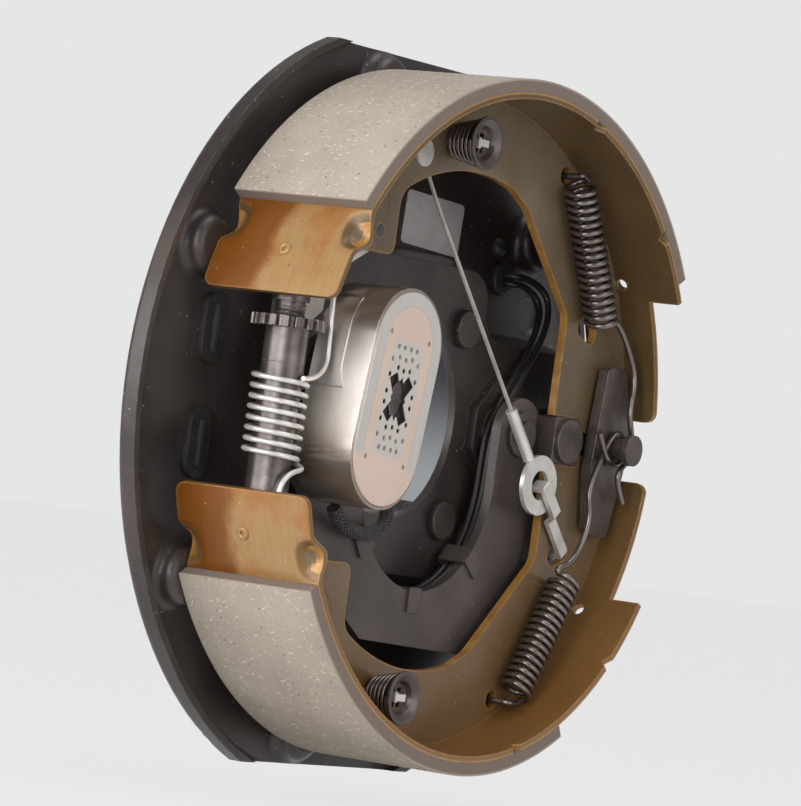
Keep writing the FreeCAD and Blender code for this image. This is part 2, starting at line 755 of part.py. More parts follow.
def make_cam_block():
    """Square block on the lever that spreads the shoes' webs, with its corners eased."""
    block = box(block_x - block_half, block_x + block_half, block_front_y, lever_front_y, -block_half, block_half)
    upright = [e for e in block.Edges if abs(e.tangentAt(e.FirstParameter).y) > 0.99]
    return block.makeFillet(0.8, upright)


def make_block_rivet():
    """Round riveted head on the front of the cam block."""
    disc = disc_y((block_x, 0), block_disc_diameter, block_front_y - block_disc_height, block_front_y)
    return disc.makeFillet(0.6, rims_at(disc, block_front_y - block_disc_height))


def make_lead_clips():
    """Three tabs folded over the lever's opening that hold the magnet leads behind it."""
    cx, cz = lever_opening_centre
    clips = []
    strip = clip_strip
    over = clip_reach
    wide = clip_width
    back_y = lever_rear_y + lead_diameter + lead_spacing + 2 * side_clearance
    for angle in clip_angles:
        inner = lever_opening_radius - clip_seat_gap
        front = box(inner, inner + over, lever_front_y - strip, lever_front_y, -wide / 2, wide / 2)
        fold = box(inner - strip, inner, lever_front_y - strip, back_y, -wide / 2, wide / 2)
        back = box(inner - strip, inner + over - 1, back_y, back_y + strip, -wide / 2, wide / 2)
        clip = front.fuse(fold).fuse(back).removeSplitter()
        clip.rotate(Vec(0, 0, 0), AXIS_Y, -angle)
        clip.translate(Vec(cx, 0, cz))
        clips.append(clip)
    return Part.makeCompound(clips)


def make_magnet_shell():
    """Nickel-plated racetrack case round the magnet."""
    shell = obround(magnet_place, magnet_length, magnet_width, magnet_face_y + 0.6, magnet_rear_y, magnet_tilt)
    core = obround(magnet_place, magnet_length - 2 * magnet_wall, magnet_width - 2 * magnet_wall, magnet_face_y - 1,
                   magnet_rear_y + 1, magnet_tilt)
    return shell.cut(core)


def cross_cut(depth):
    """X-shaped pocket in the middle of the friction face."""
    arms = []
    for turn in (cross_angle, -cross_angle):
        arm = box(-cross_arm_width / 2, cross_arm_width / 2, magnet_face_y - 1, magnet_face_y + depth,
                  -cross_arm_half_length, cross_arm_half_length)
        arm.rotate(Vec(0, 0, 0), AXIS_Y, turn)
        arms.append(placed_on_magnet(arm))
    return arms[0].fuse(arms[1])


def make_magnet_core():
    """Friction block with its coil: flush face, X-shaped pocket in front and spring bore behind."""
    core = obround(magnet_place, magnet_length - 2 * magnet_wall, magnet_width - 2 * magnet_wall, magnet_face_y,
                   magnet_rear_y, magnet_tilt)
    core = core.cut(disc_y(magnet_place, magnet_bore_diameter, magnet_rear_y - magnet_bore_depth, magnet_rear_y + 1))
    core = core.cut(disc_y(magnet_place, magnet_post_diameter + 1, magnet_face_y + clip_depth, magnet_rear_y))
    pocket = clip_outline(side_clearance)
    core = core.cut(placed_on_magnet(plate_from(pocket, magnet_face_y + clip_depth - side_clearance,
                                                magnet_face_y + clip_depth + clip_thickness + side_clearance)))
    return core.cut(cross_cut(clip_depth + clip_thickness))


def clip_outline(grow):
    """Diamond outline of the magnet's clip, grown outwards."""
    long = clip_half_length + 2 * grow
    short = clip_half_width + grow
    return [(0, long, 0.6), (short, 0, 0.6), (0, -long, 0.6), (-short, 0, 0.6)]


def placed_on_magnet(shape):
    """Lean a shape with the magnet and move it to the magnet's middle."""
    shape.rotate(Vec(0, 0, 0), AXIS_Y, magnet_tilt)
    shape.translate(Vec(magnet_place[0], 0, magnet_place[1]))
    return shape


def make_magnet_clip():
    """Sprung diamond clip in the pocket that keeps the magnet on its post."""
    floor = magnet_face_y + clip_depth
    return placed_on_magnet(plate_from(clip_outline(0), floor, floor + clip_thickness))


def make_magnet_post():
    """Post on the lever that the magnet slides and turns on."""
    tip = magnet_face_y + clip_depth + clip_thickness + side_clearance + magnet_travel
    post = disc_y(magnet_place, magnet_post_diameter, tip, lever_front_y)
    return post.fuse(disc_y(magnet_place, magnet_post_base_diameter, lever_front_y - 1.2, lever_front_y)).removeSplitter()


def make_follower_spring():
    """Coil between the lever and the floor of the magnet's bore."""
    start = Vec(magnet_place[0], lever_front_y - side_clearance - follower_wire / 2, magnet_place[1])
    floor = magnet_rear_y - magnet_bore_depth + side_clearance + follower_wire / 2
    spring = coil(follower_diameter, follower_wire, follower_turns, start.y - floor)
    return aligned(spring, start, Vec(start.x, floor, start.z))


def make_table(tongue_angle, wide_angle):
    """Curved shoe table of the secondary shoe with its narrow tongue at the anchor end."""
    left = 180 - math.degrees(math.asin(table_end_half_gap / table_radius))
    wide = ring_sector(web_radius, table_radius, wide_angle, left, shoe_front_y, shoe_rear_y)
    corners = [e for e in wide.Edges if abs(e.Length - table_thickness) < 0.01]
    wide = wide.makeFillet(table_corner_radius, [e for e in corners if e.CenterOfMass.x < 0])
    tongue = ring_sector(web_radius, table_radius, tongue_angle, wide_angle, shoe_mid_y - table_tongue_width / 2,
                         shoe_mid_y + table_tongue_width / 2)
    ends = [e for e in tongue.Edges if abs(e.Length - table_thickness) < 0.01 and e.CenterOfMass.z < 30]
    tongue = tongue.makeFillet(table_corner_radius, ends)
    table = wide.fuse(tongue)
    middle = (web_radius + table_radius) / 2
    for angle in nib_angles:
        for edge_y, inward in ((shoe_front_y, 1), (shoe_rear_y, -1)):
            nib = [Vec(middle - 5, edge_y - inward, -nib_width / 2), Vec(middle - 5, edge_y + inward * nib_depth, 0),
                   Vec(middle - 5, edge_y - inward, nib_width / 2)]
            wedge = Part.Face(Part.makePolygon(nib + [nib[0]])).extrude(Vec(10, 0, 0))
            wedge.rotate(Vec(0, 0, 0), AXIS_Y, -angle)
            table = table.cut(wedge)
    hole_y = web_front_y - table_hole_radius - 0.3
    hole = Part.makeCylinder(table_hole_radius, 10, Vec(middle - 5, hole_y, 0), Vec(1, 0, 0))
    hole.rotate(Vec(0, 0, 0), AXIS_Y, -table_hole_angle)
    return table.cut(hole).removeSplitter()


def make_web(hold_place, spring_hole, arm_hole):
    """Flat web of a shoe, drawn on the secondary side: foot at the adjuster, notch at the anchor post."""
    front = web_front_y - 1
    back = web_rear_y + 1
    radius = web_inner_radius
    tail = block_half + side_clearance
    clear_x = block_x + block_half + web_cam_clearance
    fillet_x = web_foot_x + web_inner_fillet
    fillet_z = math.sqrt((radius - web_inner_fillet) ** 2 - fillet_x ** 2)
    arc_end = Vec(web_arc_end_x, front, math.sqrt(radius ** 2 - web_arc_end_x ** 2))
    arc_start = Vec(fillet_x, front, fillet_z) * (radius / (radius - web_inner_fillet))
    arc_start.y = front
    fillet_start = Vec(web_foot_x, front, fillet_z)
    lean = math.atan2(fillet_z, -fillet_x) / 2
    fillet_middle = Vec(fillet_x - web_inner_fillet * math.cos(lean), front, fillet_z + web_inner_fillet * math.sin(lean))
    edges = [
        Part.Arc(fillet_start, fillet_middle, arc_start).toShape(),
        Part.Arc(arc_start, Vec(0, front, radius), arc_end).toShape(),
    ]
    edges += rounded_edges([(arc_end.x, arc_end.z, 0), (web_shoulder[0], web_shoulder[1], 12), (web_knee[0], web_knee[1], 6),
                            (web_knee[0], tail, 0), (clear_x, tail, 0), (clear_x, web_end_half_gap, 0),
                            (lining_radius, web_end_half_gap, 0), (lining_radius, -1, 0), (web_foot_x, -1, 0),
                            (web_foot_x, fillet_z, 0)], front, False)
    opening = Part.Face(Part.Wire(edges)).extrude(Vec(0, back - front, 0))
    foot = rounded_edges([(-lining_radius, -1, 0), (-lining_radius, web_toe_half_gap, 0), (web_toe_x, web_toe_half_gap, 3),
                          (web_toe_x + 4, web_foot_half_gap, 4), (web_foot_x + 1, web_foot_half_gap, 0),
                          (web_foot_x + 1, -1, 0)], front, True)
    opening = opening.fuse(Part.Face(Part.Wire(foot)).extrude(Vec(0, back - front, 0)))
    sheet = Part.Face(Part.Wire([
        Part.Arc(polar(web_radius, 0, web_front_y), polar(web_radius, 80, web_front_y), polar(web_radius, 160, web_front_y)).toShape(),
        Part.LineSegment(polar(web_radius, 160, web_front_y), polar(web_radius, 0, web_front_y)).toShape(),
    ])).extrude(Vec(0, web_thickness, 0))
    web = sheet.cut(opening)
    corner = [e for e in web.Edges if abs(e.Length - web_thickness) < 0.01
              and abs(e.CenterOfMass.x - web_foot_x) < 0.1 and abs(e.CenterOfMass.z - web_foot_half_gap) < 0.1]
    web = web.makeFillet(web_foot_corner_radius, corner)
    web = web.cut(disc_y((anchor_x, 0), anchor_diameter + 2 * side_clearance, front, back))
    web = web.cut(disc_y(hold_place, hold_down_hole_diameter, front, back))
    web = web.cut(disc_y(spring_hole, spring_hole_diameter, front, back))
    return web.cut(disc_y(arm_hole, wire_hole_diameter, front, back))


def make_secondary_web():
    """Secondary web with the holes for the cable guide and the pawl's pin, and the strap hole that both webs have."""
    web = make_web(secondary_hold_place, secondary_spring_hole, adjuster_arm_place)
    for place, diameter in ((guide_place, guide_hub_diameter), (pawl_pivot, pawl_pin_diameter)):
        web = web.cut(disc_y(place, diameter, web_front_y - 1, web_rear_y + 1))
    return web.cut(strap_hole(1)).removeSplitter()


def make_primary_web():
    """Primary web, mirrored, with the strap hole that the cable's hook goes through."""
    flip = ((primary_hold_place[0], -primary_hold_place[1]), (primary_spring_hole[0], -primary_spring_hole[1]),
            (adjuster_hook_place[0], -adjuster_hook_place[1]))
    return mirrored(make_web(*flip)).cut(strap_hole(-1)).removeSplitter()


def strap_hole(side):
    """Long hole across a web near the cam block, on the secondary (1) or primary (-1) side."""
    hole = obround((0, 0), hook_hole_length, hook_hole_width, web_front_y - 1, web_rear_y + 1)
    hole.rotate(Vec(0, 0, 0), AXIS_Y, 90 - hook_hole_lean)
    hole.translate(Vec(hook_hole_place[0], 0, hook_hole_place[1]))
    return hole if side > 0 else mirrored(hole)


def make_lining(span):
    """Bonded friction lining."""
    return ring_sector(table_radius, lining_radius, span[0], span[1], shoe_front_y, shoe_rear_y)


def make_socket():
    """Lower adjuster end: forked over the primary web, bored for the star screw's pilot."""
    body = disc_z(adjuster_x, shoe_mid_y, socket_diameter, -fork_tip, socket_top_z)
    slot = box(adjuster_x - socket_diameter, adjuster_x + socket_diameter, web_front_y - side_clearance,
               web_rear_y + side_clearance, -fork_tip - 1, -fork_floor)
    bore = disc_z(adjuster_x, shoe_mid_y, screw_pilot_diameter + 2 * running_clearance, socket_top_z - socket_bore_depth,
                  socket_top_z + 1)
    return body.cut(slot).cut(bore)


def make_star_screw():
    """Star wheel with its hub, the pilot below and the screw above."""
    screw = disc_z(adjuster_x, shoe_mid_y, socket_diameter, socket_top_z, wheel_bottom_z)
    screw = screw.fuse(disc_z(adjuster_x, shoe_mid_y, screw_pilot_diameter, socket_top_z - socket_bore_depth + 1,
                              socket_top_z))
    screw = screw.fuse(disc_z(adjuster_x, shoe_mid_y, screw_diameter, wheel_top_z, wheel_top_z + screw_length))
    radius = wheel_diameter / 2
    root = radius - tooth_depth
    step = 360.0 / wheel_teeth
    points = []
    for tooth in range(wheel_teeth):
        for share, reach in ((0.0, root), (0.25, root), (0.38, radius), (0.82, radius)):
            angle = math.radians(step * (tooth + share))
            points.append(Vec(adjuster_x + reach * math.cos(angle), shoe_mid_y + reach * math.sin(angle), wheel_bottom_z))
    wheel = Part.Face(Part.makePolygon(points + [points[0]])).extrude(Vec(0, 0, wheel_thickness))
    return screw.fuse(wheel).removeSplitter()


def make_nut():
    """Upper adjuster end: bored over the screw and forked over the secondary web."""
    body = disc_z(adjuster_x, shoe_mid_y, nut_diameter, nut_bottom_z, fork_tip)
    slot = box(adjuster_x - nut_diameter, adjuster_x + nut_diameter, web_front_y - side_clearance,
               web_rear_y + side_clearance, fork_floor, fork_tip + 1)
    bore = disc_z(adjuster_x, shoe_mid_y, screw_diameter + 2 * running_clearance, nut_bottom_z - 1,
                  wheel_top_z + screw_length + 1)
    return body.cut(slot).cut(bore)


def make_adjuster_spring():
    """Coil round the socket with an arm up to the secondary web and a hook down to the primary web."""
    height = adjuster_spring_top_z - adjuster_spring_bottom_z
    spring = coil(adjuster_spring_diameter, adjuster_wire, adjuster_spring_turns, height)
    spring.translate(Vec(adjuster_x, shoe_mid_y, adjuster_spring_bottom_z))
    reach = (adjuster_spring_diameter - adjuster_wire) / 2
    front = shoe_mid_y - reach
    arm_x, arm_z = adjuster_arm_place
    before = web_front_y - 1.6
    behind = web_rear_y + 2.2
    upper = tube([Vec(adjuster_x, front, adjuster_spring_top_z), Vec(arm_x - 2.8, -32.0, 7.0), Vec(arm_x - 1.4, -30.2, 26.0),
                  Vec(arm_x - 0.6, before - 1.6, 46.0), Vec(arm_x, before - 1.0, arm_z + 0.6),
                  Vec(arm_x, behind, arm_z)], adjuster_wire)
    hook_x, hook_z = adjuster_hook_place
    lower = tube([Vec(adjuster_x + reach, shoe_mid_y, adjuster_spring_bottom_z), Vec(adjuster_x + reach, front - 0.4, -24.4),
                  Vec(adjuster_x - 2.5, front - 0.9, -27.0), Vec(adjuster_x - 6.4, front, -34.0),
                  Vec(adjuster_x - 2.6, front - 0.4, -48.0),
                  Vec(hook_x, before - 1.0, hook_z - 0.6), Vec(hook_x, behind, hook_z)], adjuster_wire)
    return spring.fuse([upper, lower])


def make_return_spring(start, end, web_hole, arm, arm_side):
    """Shoe return spring: grooved barrel of coils, a hook into the web and a long arm to the anchor, from its left
    (1) or right (-1) side."""
    axis = end - start
    length = axis.Length
    turns = round(length / return_pitch)
    pitch = length / turns
    outer = return_diameter / 2
    groove = outer - return_wire * 0.4
    inner = outer - return_wire
    profile = [Vec(inner, 0, 0), Vec(groove, 0, 0)]
    for turn in range(turns):
        profile.append(Vec(outer, 0, (turn + 0.5) * pitch))
        profile.append(Vec(groove, 0, (turn + 1) * pitch))
    profile.append(Vec(inner, 0, length))
    barrel = Part.Face(Part.makePolygon(profile + [profile[0]])).revolve(Vec(0, 0, 0), AXIS_Z, 360)
    barrel = aligned(barrel, start, end)
    direction = Vec(axis).normalize()
    side = Vec(direction.z, 0, -direction.x)
    if side.x > 0:
        side = side * -1
    middle = outer - return_wire / 2
    first = start - side * middle + direction * return_wire / 2
    hole_front = Vec(web_hole[0], return_axis_y, web_hole[1])
    hook = tube([first, start - direction * return_wire - side * middle * 0.5, hole_front,
                 Vec(hole_front.x, web_rear_y + return_wire, hole_front.z)], return_wire)
    last = end + side * middle * arm_side - direction * return_wire / 2
    return barrel.fuse([hook, tube([last] + arm, return_wire)])


def hook_points(degrees, y):
    """Corners of a wire's path round the anchor's neck at the given angles, and at depth y."""
    apothem = anchor_neck_diameter / 2 + return_wire / 2 + side_clearance
    reach = apothem / math.cos(math.radians(30))
    return [Vec(anchor_x, 0, 0) + polar(reach, angle, y) for angle in degrees]


def make_secondary_return_spring():
    """Upper return spring: its arm bends round the right of the anchor's neck."""
    y = anchor_plate_front_y - anchor_hook_pitch - return_wire / 2 - hook_plate_gap
    tail = [Vec(anchor_x - 1.4, y, -8.2), Vec(anchor_x - 0.8, y, -13.8), Vec(anchor_x + 5.2, y + 0.6, -20.0)]
    arm = [Vec(anchor_x - 11.0, return_axis_y - 0.4, 48.0), Vec(anchor_x - 2.0, return_axis_y - 0.8, 39.5),
           Vec(anchor_x + 5.0, -34.8, 27.5), Vec(anchor_x + 0.8, y, 14.5)] + hook_points((30, -30), y) + tail
    start = Vec(secondary_spring_hole[0] - 1.0, return_axis_y, secondary_spring_hole[1] - 2.2)
    return make_return_spring(start, Vec(anchor_x - 20.6, return_axis_y, 44.6), secondary_spring_hole, arm, -1)


def make_primary_return_spring():
    """Lower return spring: its arm comes up left of the anchor's neck and bends over it."""
    y = anchor_plate_front_y - return_wire / 2 - hook_plate_gap
    tail = [Vec(anchor_x - 11.0, y - 2.4, -3.2), Vec(anchor_x - 18.0, y - 3.0, 5.0)]
    arm = [Vec(anchor_x - 30.4, return_axis_y, -48.0), Vec(anchor_x - 19.0, return_axis_y - 0.3, -45.0),
           Vec(anchor_x - 12.2, -34.0, -29.0), Vec(anchor_x - 16.6, y, -16.0)]
    arm += hook_points((120, 60, 0, -60, -120), y) + tail
    start = Vec(primary_spring_hole[0] + 3.8, return_axis_y, primary_spring_hole[1] + 2.8)
    return make_return_spring(start, Vec(anchor_x - 21.8, return_axis_y, -51.4), primary_spring_hole, arm, 1)


def make_hold_down(place):
    """Pin, conical coil and dished cup that hold one shoe against the plate."""
    x, z = place
    front = hold_cup_front_y
    floor = front + cup_depth - cup_wall
    pin = disc_y(place, hold_pin_diameter, floor, pan_rear_y)
    pin = pin.fuse(disc_y(place, hold_pin_head_diameter, pan_rear_y, pan_rear_y + hold_pin_head_height))
    bar_half = hold_bar_length / 2
    bar = box(x - bar_half, x + bar_half, floor - hold_bar_thickness, floor, z - hold_bar_width / 2, z + hold_bar_width / 2)
    pin = pin.fuse(bar).removeSplitter()
    rim = cup_diameter / 2
    mouth = rim - cup_lip
    throat = cup_throat_diameter / 2
    base = cup_floor_diameter / 2
    neck_depth = front + cup_throat_depth
    profile = Part.makePolygon([
        Vec(0, floor, 0), Vec(base, floor, 0), Vec(throat, neck_depth, 0), Vec(mouth, front, 0), Vec(rim, front, 0),
        Vec(rim, front + cup_wall, 0), Vec(throat + cup_wall, front + cup_wall, 0), Vec(base + cup_wall, floor + cup_wall, 0),
        Vec(0, floor + cup_wall, 0), Vec(0, floor, 0)])
    cup = Part.Face(profile).revolve(Vec(0, 0, 0), AXIS_Y, 360)
    cup.translate(Vec(x, 0, z))
    slot_half = hold_pin_diameter / 2 + side_clearance
    slot_reach = bar_half + side_clearance
    cup = cup.cut(box(x - slot_half, x + slot_half, floor - 1, floor + cup_wall + 1, z - slot_reach, z + slot_reach))
    inset = side_clearance + hold_wire / 2
    spring = aligned(coil(hold_spring_rear_diameter, hold_wire, hold_spring_turns, hold_spring_length - 2 * inset,
                          hold_spring_front_diameter),
                     Vec(x, web_front_y - inset, z), Vec(x, front + cup_wall + inset, z))
    return pin, spring, cup


def make_cable_guide():
    """Grooved guide behind the secondary web, with its hub through the web and a flat head in front."""
    rear = guide_mid_y + guide_thickness / 2
    front = guide_mid_y - guide_thickness / 2
    half = guide_thickness / 2
    x, z = guide_place
    profile = Part.makePolygon([
        Vec(0, front, 0), Vec(guide_rim_radius, front, 0), Vec(guide_groove_radius, guide_mid_y, 0),
        Vec(guide_rim_radius, rear, 0), Vec(0, rear, 0), Vec(0, front, 0)])
    guide = Part.Face(profile).revolve(Vec(0, 0, 0), AXIS_Y, 360)
    guide.translate(Vec(x, 0, z))
    guide = guide.fuse(disc_y(guide_place, guide_hub_diameter + 5, web_rear_y, front))
    guide = guide.fuse(disc_y(guide_place, guide_hub_diameter, web_front_y, web_rear_y))
    return guide.fuse(disc_y(guide_place, guide_head_diameter, web_front_y - guide_head_height, web_front_y)).removeSplitter()


def cable_layout():
    """Places that the cable, its ferrule and its eyelet share."""
    ring = Vec(eyelet_place[0], eyelet_mid_y, eyelet_place[1])
    pulley = Vec(guide_place[0], guide_mid_y, guide_place[1])
    radius = guide_cable_radius
    flat = Vec(pulley.x - ring.x, 0, pulley.z - ring.z)
    lean = math.acos(radius / flat.Length)
    heading = math.atan2(-flat.z, -flat.x) + lean
    first = pulley + Vec(radius * math.cos(heading), 0, radius * math.sin(heading))
    anchor = Vec(pawl_cable_place[0], guide_mid_y, pawl_cable_place[1])
    away = anchor - pulley
    leave = 2 * math.pi + math.atan2(away.z, away.x) - math.acos(radius / away.Length)
    second = pulley + Vec(radius * math.cos(leave), 0, radius * math.sin(leave))
    end = anchor - (anchor - second).normalize() * (button_diameter / 2)
    middle_angle = (heading + leave) / 2
    middle = pulley + Vec(radius * math.cos(middle_angle), 0, radius * math.sin(middle_angle))
    return ring, first, middle, second, end


def make_cable():
    """Steel cable from its ferrule over the guide to the pawl, straight but for the guide's arc."""
    ring, first, middle, second, end = cable_layout()
    flat = Vec(first.x - ring.x, 0, first.z - ring.z).normalize()
    knee = first - flat * cable_bend_run
    start = ring + (knee - ring).normalize() * (eyelet_diameter / 2 + ferrule_length - 3.0)
    back = (start - knee).normalize()
    half = back.getAngle(flat) / 2
    reach = 0.45 * cable_bend_run
    radius = reach * math.tan(half)
    bisector = (back + flat).normalize()
    bend_middle = knee + bisector * (radius / math.sin(half) - radius)
    path = Part.Wire([
        Part.LineSegment(start, knee + back * reach).toShape(),
        Part.Arc(knee + back * reach, bend_middle, knee + flat * reach).toShape(),
        Part.LineSegment(knee + flat * reach, first).toShape(),
        Part.Arc(first, middle, second).toShape(),
        Part.LineSegment(second, end).toShape(),
    ])
    section = Part.Wire(Part.Circle(start, knee - start, cable_diameter / 2).toShape())
    print("adjuster_cable radii", round(radius, 1), round(guide_cable_radius, 1))
    return path.makePipeShell([section], True, False)


def make_ferrule():
    """Crimped sleeve between the cable and its eyelet."""
    ring, first, _, _, _ = cable_layout()
    flat = Vec(first.x - ring.x, 0, first.z - ring.z).normalize()
    direction = ((first - flat * cable_bend_run) - ring).normalize()
    start = ring + direction * (eyelet_diameter / 2 + running_clearance)
    sleeve = Part.makeCylinder(ferrule_diameter / 2, ferrule_length, start, direction)
    core = Part.makeCylinder(cable_diameter / 2 + 0.02, 3.5, start + direction * (ferrule_length - 3.2), direction)
    return sleeve.cut(core)


def make_eyelet():
    """Flat ring at the cable's end that the strap hook holds."""
    ring = disc_y(eyelet_place, eyelet_diameter, eyelet_mid_y - eyelet_thickness / 2, eyelet_mid_y + eyelet_thickness / 2)
    return ring.cut(disc_y(eyelet_place, eyelet_hole_diameter, -60, 0))


def make_cable_hook():
    """Bent strap that joins the eyelet to the long hole in the primary web."""
    hole = Vec(hook_hole_place[0], 0, -hook_hole_place[1])
    ring = Vec(eyelet_place[0], 0, eyelet_place[1])
    direction = (hole - ring).normalize()
    reach = (hole - ring).Length
    half = hook_thickness / 2
    rim_in = eyelet_hole_diameter / 2
    rim_out = eyelet_diameter / 2
    tip = rim_in - hook_play - half
    crest = eyelet_mid_y - eyelet_thickness / 2 - side_clearance - half - 0.4
    level = web_front_y - side_clearance - half - 0.6
    bend = rim_out + hook_lead + half
    line = [(tip, eyelet_mid_y + eyelet_thickness / 2 + 1.6), (tip, crest), (bend, crest),
            (bend + 3.0, level), (reach, level), (reach, web_rear_y + half + side_clearance + 0.4),
            (reach - hook_tip, web_rear_y + half + side_clearance + 0.4)]
    left = []
    right = []
    for i, (s, y) in enumerate(line):
        before = line[max(i - 1, 0)]
        after = line[min(i + 1, len(line) - 1)]
        one = Vec(s - before[0], y - before[1], 0) if i > 0 else Vec(after[0] - s, after[1] - y, 0)
        two = Vec(after[0] - s, after[1] - y, 0) if i < len(line) - 1 else one
        one.normalize()
        two.normalize()
        normal = Vec(-one.y - two.y, one.x + two.x, 0).normalize()
        offset = half / normal.dot(Vec(-one.y, one.x, 0))
        left.append(Vec(s, y, 0) + normal * offset)
        right.append(Vec(s, y, 0) - normal * offset)
    loop = left + right[::-1]
    strap = Part.Face(Part.makePolygon(loop + [loop[0]])).extrude(Vec(0, 0, hook_width))
    strap.translate(Vec(0, 0, hook_side_shift - hook_width / 2))
    bends = [e for e in strap.Edges if abs(e.Length - hook_width) < 0.01 and abs(e.tangentAt(e.FirstParameter).z) > 0.99]
    ends = [v for v in (left[0], left[-1], right[0], right[-1])]
    bends = [e for e in bends if min(Vec(e.CenterOfMass.x, e.CenterOfMass.y, 0).distanceToPoint(v) for v in ends) > 0.1]
    strap = strap.makeFillet(0.6, bends)
    turn = math.degrees(math.atan2(direction.z, direction.x))
    strap.rotate(Vec(0, 0, 0), AXIS_Y, -turn)
    strap.translate(ring)
    return strap


def make_pawl():
    """Adjuster lever behind the secondary web: arm from its pin to a finger over the star wheel."""
    px, pz = pawl_pivot
    cx, cz = pawl_cable_place
    front = web_rear_y + pawl_gap
    rear = front + pawl_thickness
    finger = wheel_top_z + side_clearance
    tip = adjuster_x + 9.5
    outline = [(px + 6.5, pz + 6.0, 5), (cx, cz + 5.5, 4), (cx - 7.0, cz - 1.0, 4), (tip, 46.0, 6), (tip, finger, 1),
               (tip + 6.5, finger, 1), (tip + 12.4, 31.5, 2), (tip + 13.0, 43.6, 5), (px + 5.5, pz - 4.6, 4.5)]
    plate = plate_from(outline, front, rear)
    plate = plate.cut(disc_y(pawl_pivot, pawl_pin_diameter + 2 * running_clearance, front - 1, rear + 1))
    return plate.cut(disc_y(pawl_cable_place, button_peg_diameter + 1.7, front - 1, rear + 1))


def make_cable_button():
    """Button on the cable's end with a peg that hooks into the adjuster lever."""
    front = web_rear_y + pawl_gap
    back = guide_mid_y + button_height / 2
    button = disc_y(pawl_cable_place, button_diameter, back - button_height, back)
    button = button.makeFillet(0.5, [e for e in button.Edges if len(e.Vertexes) == 1])
    return button.fuse(disc_y(pawl_cable_place, button_peg_diameter, front, back - 1)).removeSplitter()


def make_pawl_pin():
    """Pin of the adjuster lever, flush with the web in front and headed behind."""
    front = web_rear_y + pawl_gap + pawl_thickness + side_clearance
    pin = disc_y(pawl_pivot, pawl_pin_diameter, web_front_y, front)
    return pin.fuse(disc_y(pawl_pivot, pawl_pin_head_diameter, front, front + pawl_pin_head_height)).removeSplitter()


def lead_route(number):
    """Route of one magnet lead from the grommet past the pivot, round behind the lever and up to the sleeve."""
    gx, gz = grommet_place
    half = lead_spacing / 2
    behind = lever_rear_y + side_clearance + lead_diameter / 2
    deep = behind + (lead_spacing if number == 2 else 0)
    px = pivot_x
    if number == 1:
        route = [
            Vec(gx, pan_rear_y + plug_lip, gz + half), Vec(gx, 4.6, gz + half), Vec(gx + 9.5, 3.8, gz + 1.5),
            Vec(gx + 17.8, 0.6, gz - 3.1), Vec(gx + 16.4, -2.6, gz - 11.9), Vec(gx + 6.9, -6.6, gz - 22.3),
            Vec(px + 10.0, -9.8, 24.4), Vec(px - 2.0, -12.0, 12.4),
        ]
    else:
        route = [
            Vec(gx, pan_rear_y + plug_lip, gz - half), Vec(gx, 5.2, gz - half), Vec(gx + 8.8, 5.4, gz - 1.5),
            Vec(gx + 14.6, 2.6, gz - 5.5), Vec(gx + 13.6, -0.2, gz - 11.7), Vec(gx + 5.8, -3.7, gz - 21.7),
            Vec(px + 9.4, -6.9, 24.8), Vec(px - 2.4, -9.1, 12.8),
        ]
    route += [Vec(px - 10.0, deep, 0.6), Vec(px - 11.1, deep, -12.0)]
    cx, cz = lever_opening_centre
    left = cx - lever_opening_radius
    for angle in (-8, -30, -52, -74, -96, -118, -140):
        place = polar(lever_opening_radius + lead_diameter / 2 + 0.9, angle, deep)
        route.append(Vec(cx + place.x, deep, cz + place.z))
    if number == 1:
        route += [
            Vec(left + 0.3, deep, -35.5), Vec(left + 1.5, deep, -22.5), Vec(left + 7.5, -13.0, -15.0),
            Vec(left + 16.5, -13.6, -12.8), Vec(left + 22.7, -14.2, -17.5), Vec(left + 22.7, -15.2, -26.0),
        ]
    else:
        route += [
            Vec(left - 2.8, deep, -36.5), Vec(left - 1.7, deep, -21.5), Vec(left + 5.5, deep - 0.6, -12.0),
            Vec(left + 16.9, -11.6, -9.4), Vec(left + 25.9, -13.0, -16.0), Vec(left + 26.1, -14.8, -27.0),
        ]
    start, direction = sleeve_mouth()
    side = Vec(direction.z, 0, -direction.x).normalize() * half
    return route + [start - direction * side_clearance + (side if number == 1 else -side)]


def sleeve_mouth():
    """Where the two leads enter the sleeve, and the way they point there."""
    left = lever_opening_centre[0] - lever_opening_radius
    return Vec(left + 18.1, -17.4, -34.2), Vec(-4.6, -4.4, -7.2).normalize()


def make_lead(number):
    """One round lead; the radii of its bends are printed."""
    route = lead_route(number)
    _, radii = route_wire(route)
    print("lead_wire_%d radii" % number, [round(r, 1) for r in radii])
    return tube(route, lead_diameter)


def make_sleeve():
    """Braided sleeve over both leads, from the lever's opening down, across its front and up to the magnet."""
    start, direction = sleeve_mouth()
    over = lever_front_y - sleeve_diameter / 2 - clip_strip - 2 * side_clearance
    left = lever_opening_centre[0] - lever_opening_radius
    mx = magnet_place[0]
    points = [
        start, start + direction * 8.2 + Vec(0, -0.5, 0), Vec(left + 1.7, over - 0.2, -45.0), Vec(mx + 16.2, over - 1.4, -43.9),
        Vec(mx + 6.2, over - 2.2, -41.0), Vec(mx + 2.0, over - 2.4, -36.6),
    ]
    return tube(points, sleeve_diameter)


def make_label():
    """Blank label on the pan."""
    x, z = label_corner
    label = box(x, x + label_size[0], pan_front_y - label_thickness, pan_front_y, z, z + label_size[1])
    edges = [e for e in label.Edges if abs(e.Length - label_thickness) < 0.01]
    label = label.makeFillet(2.0, edges)
    label.rotate(Vec(x, 0, z), AXIS_Y, label_lean)
    return label


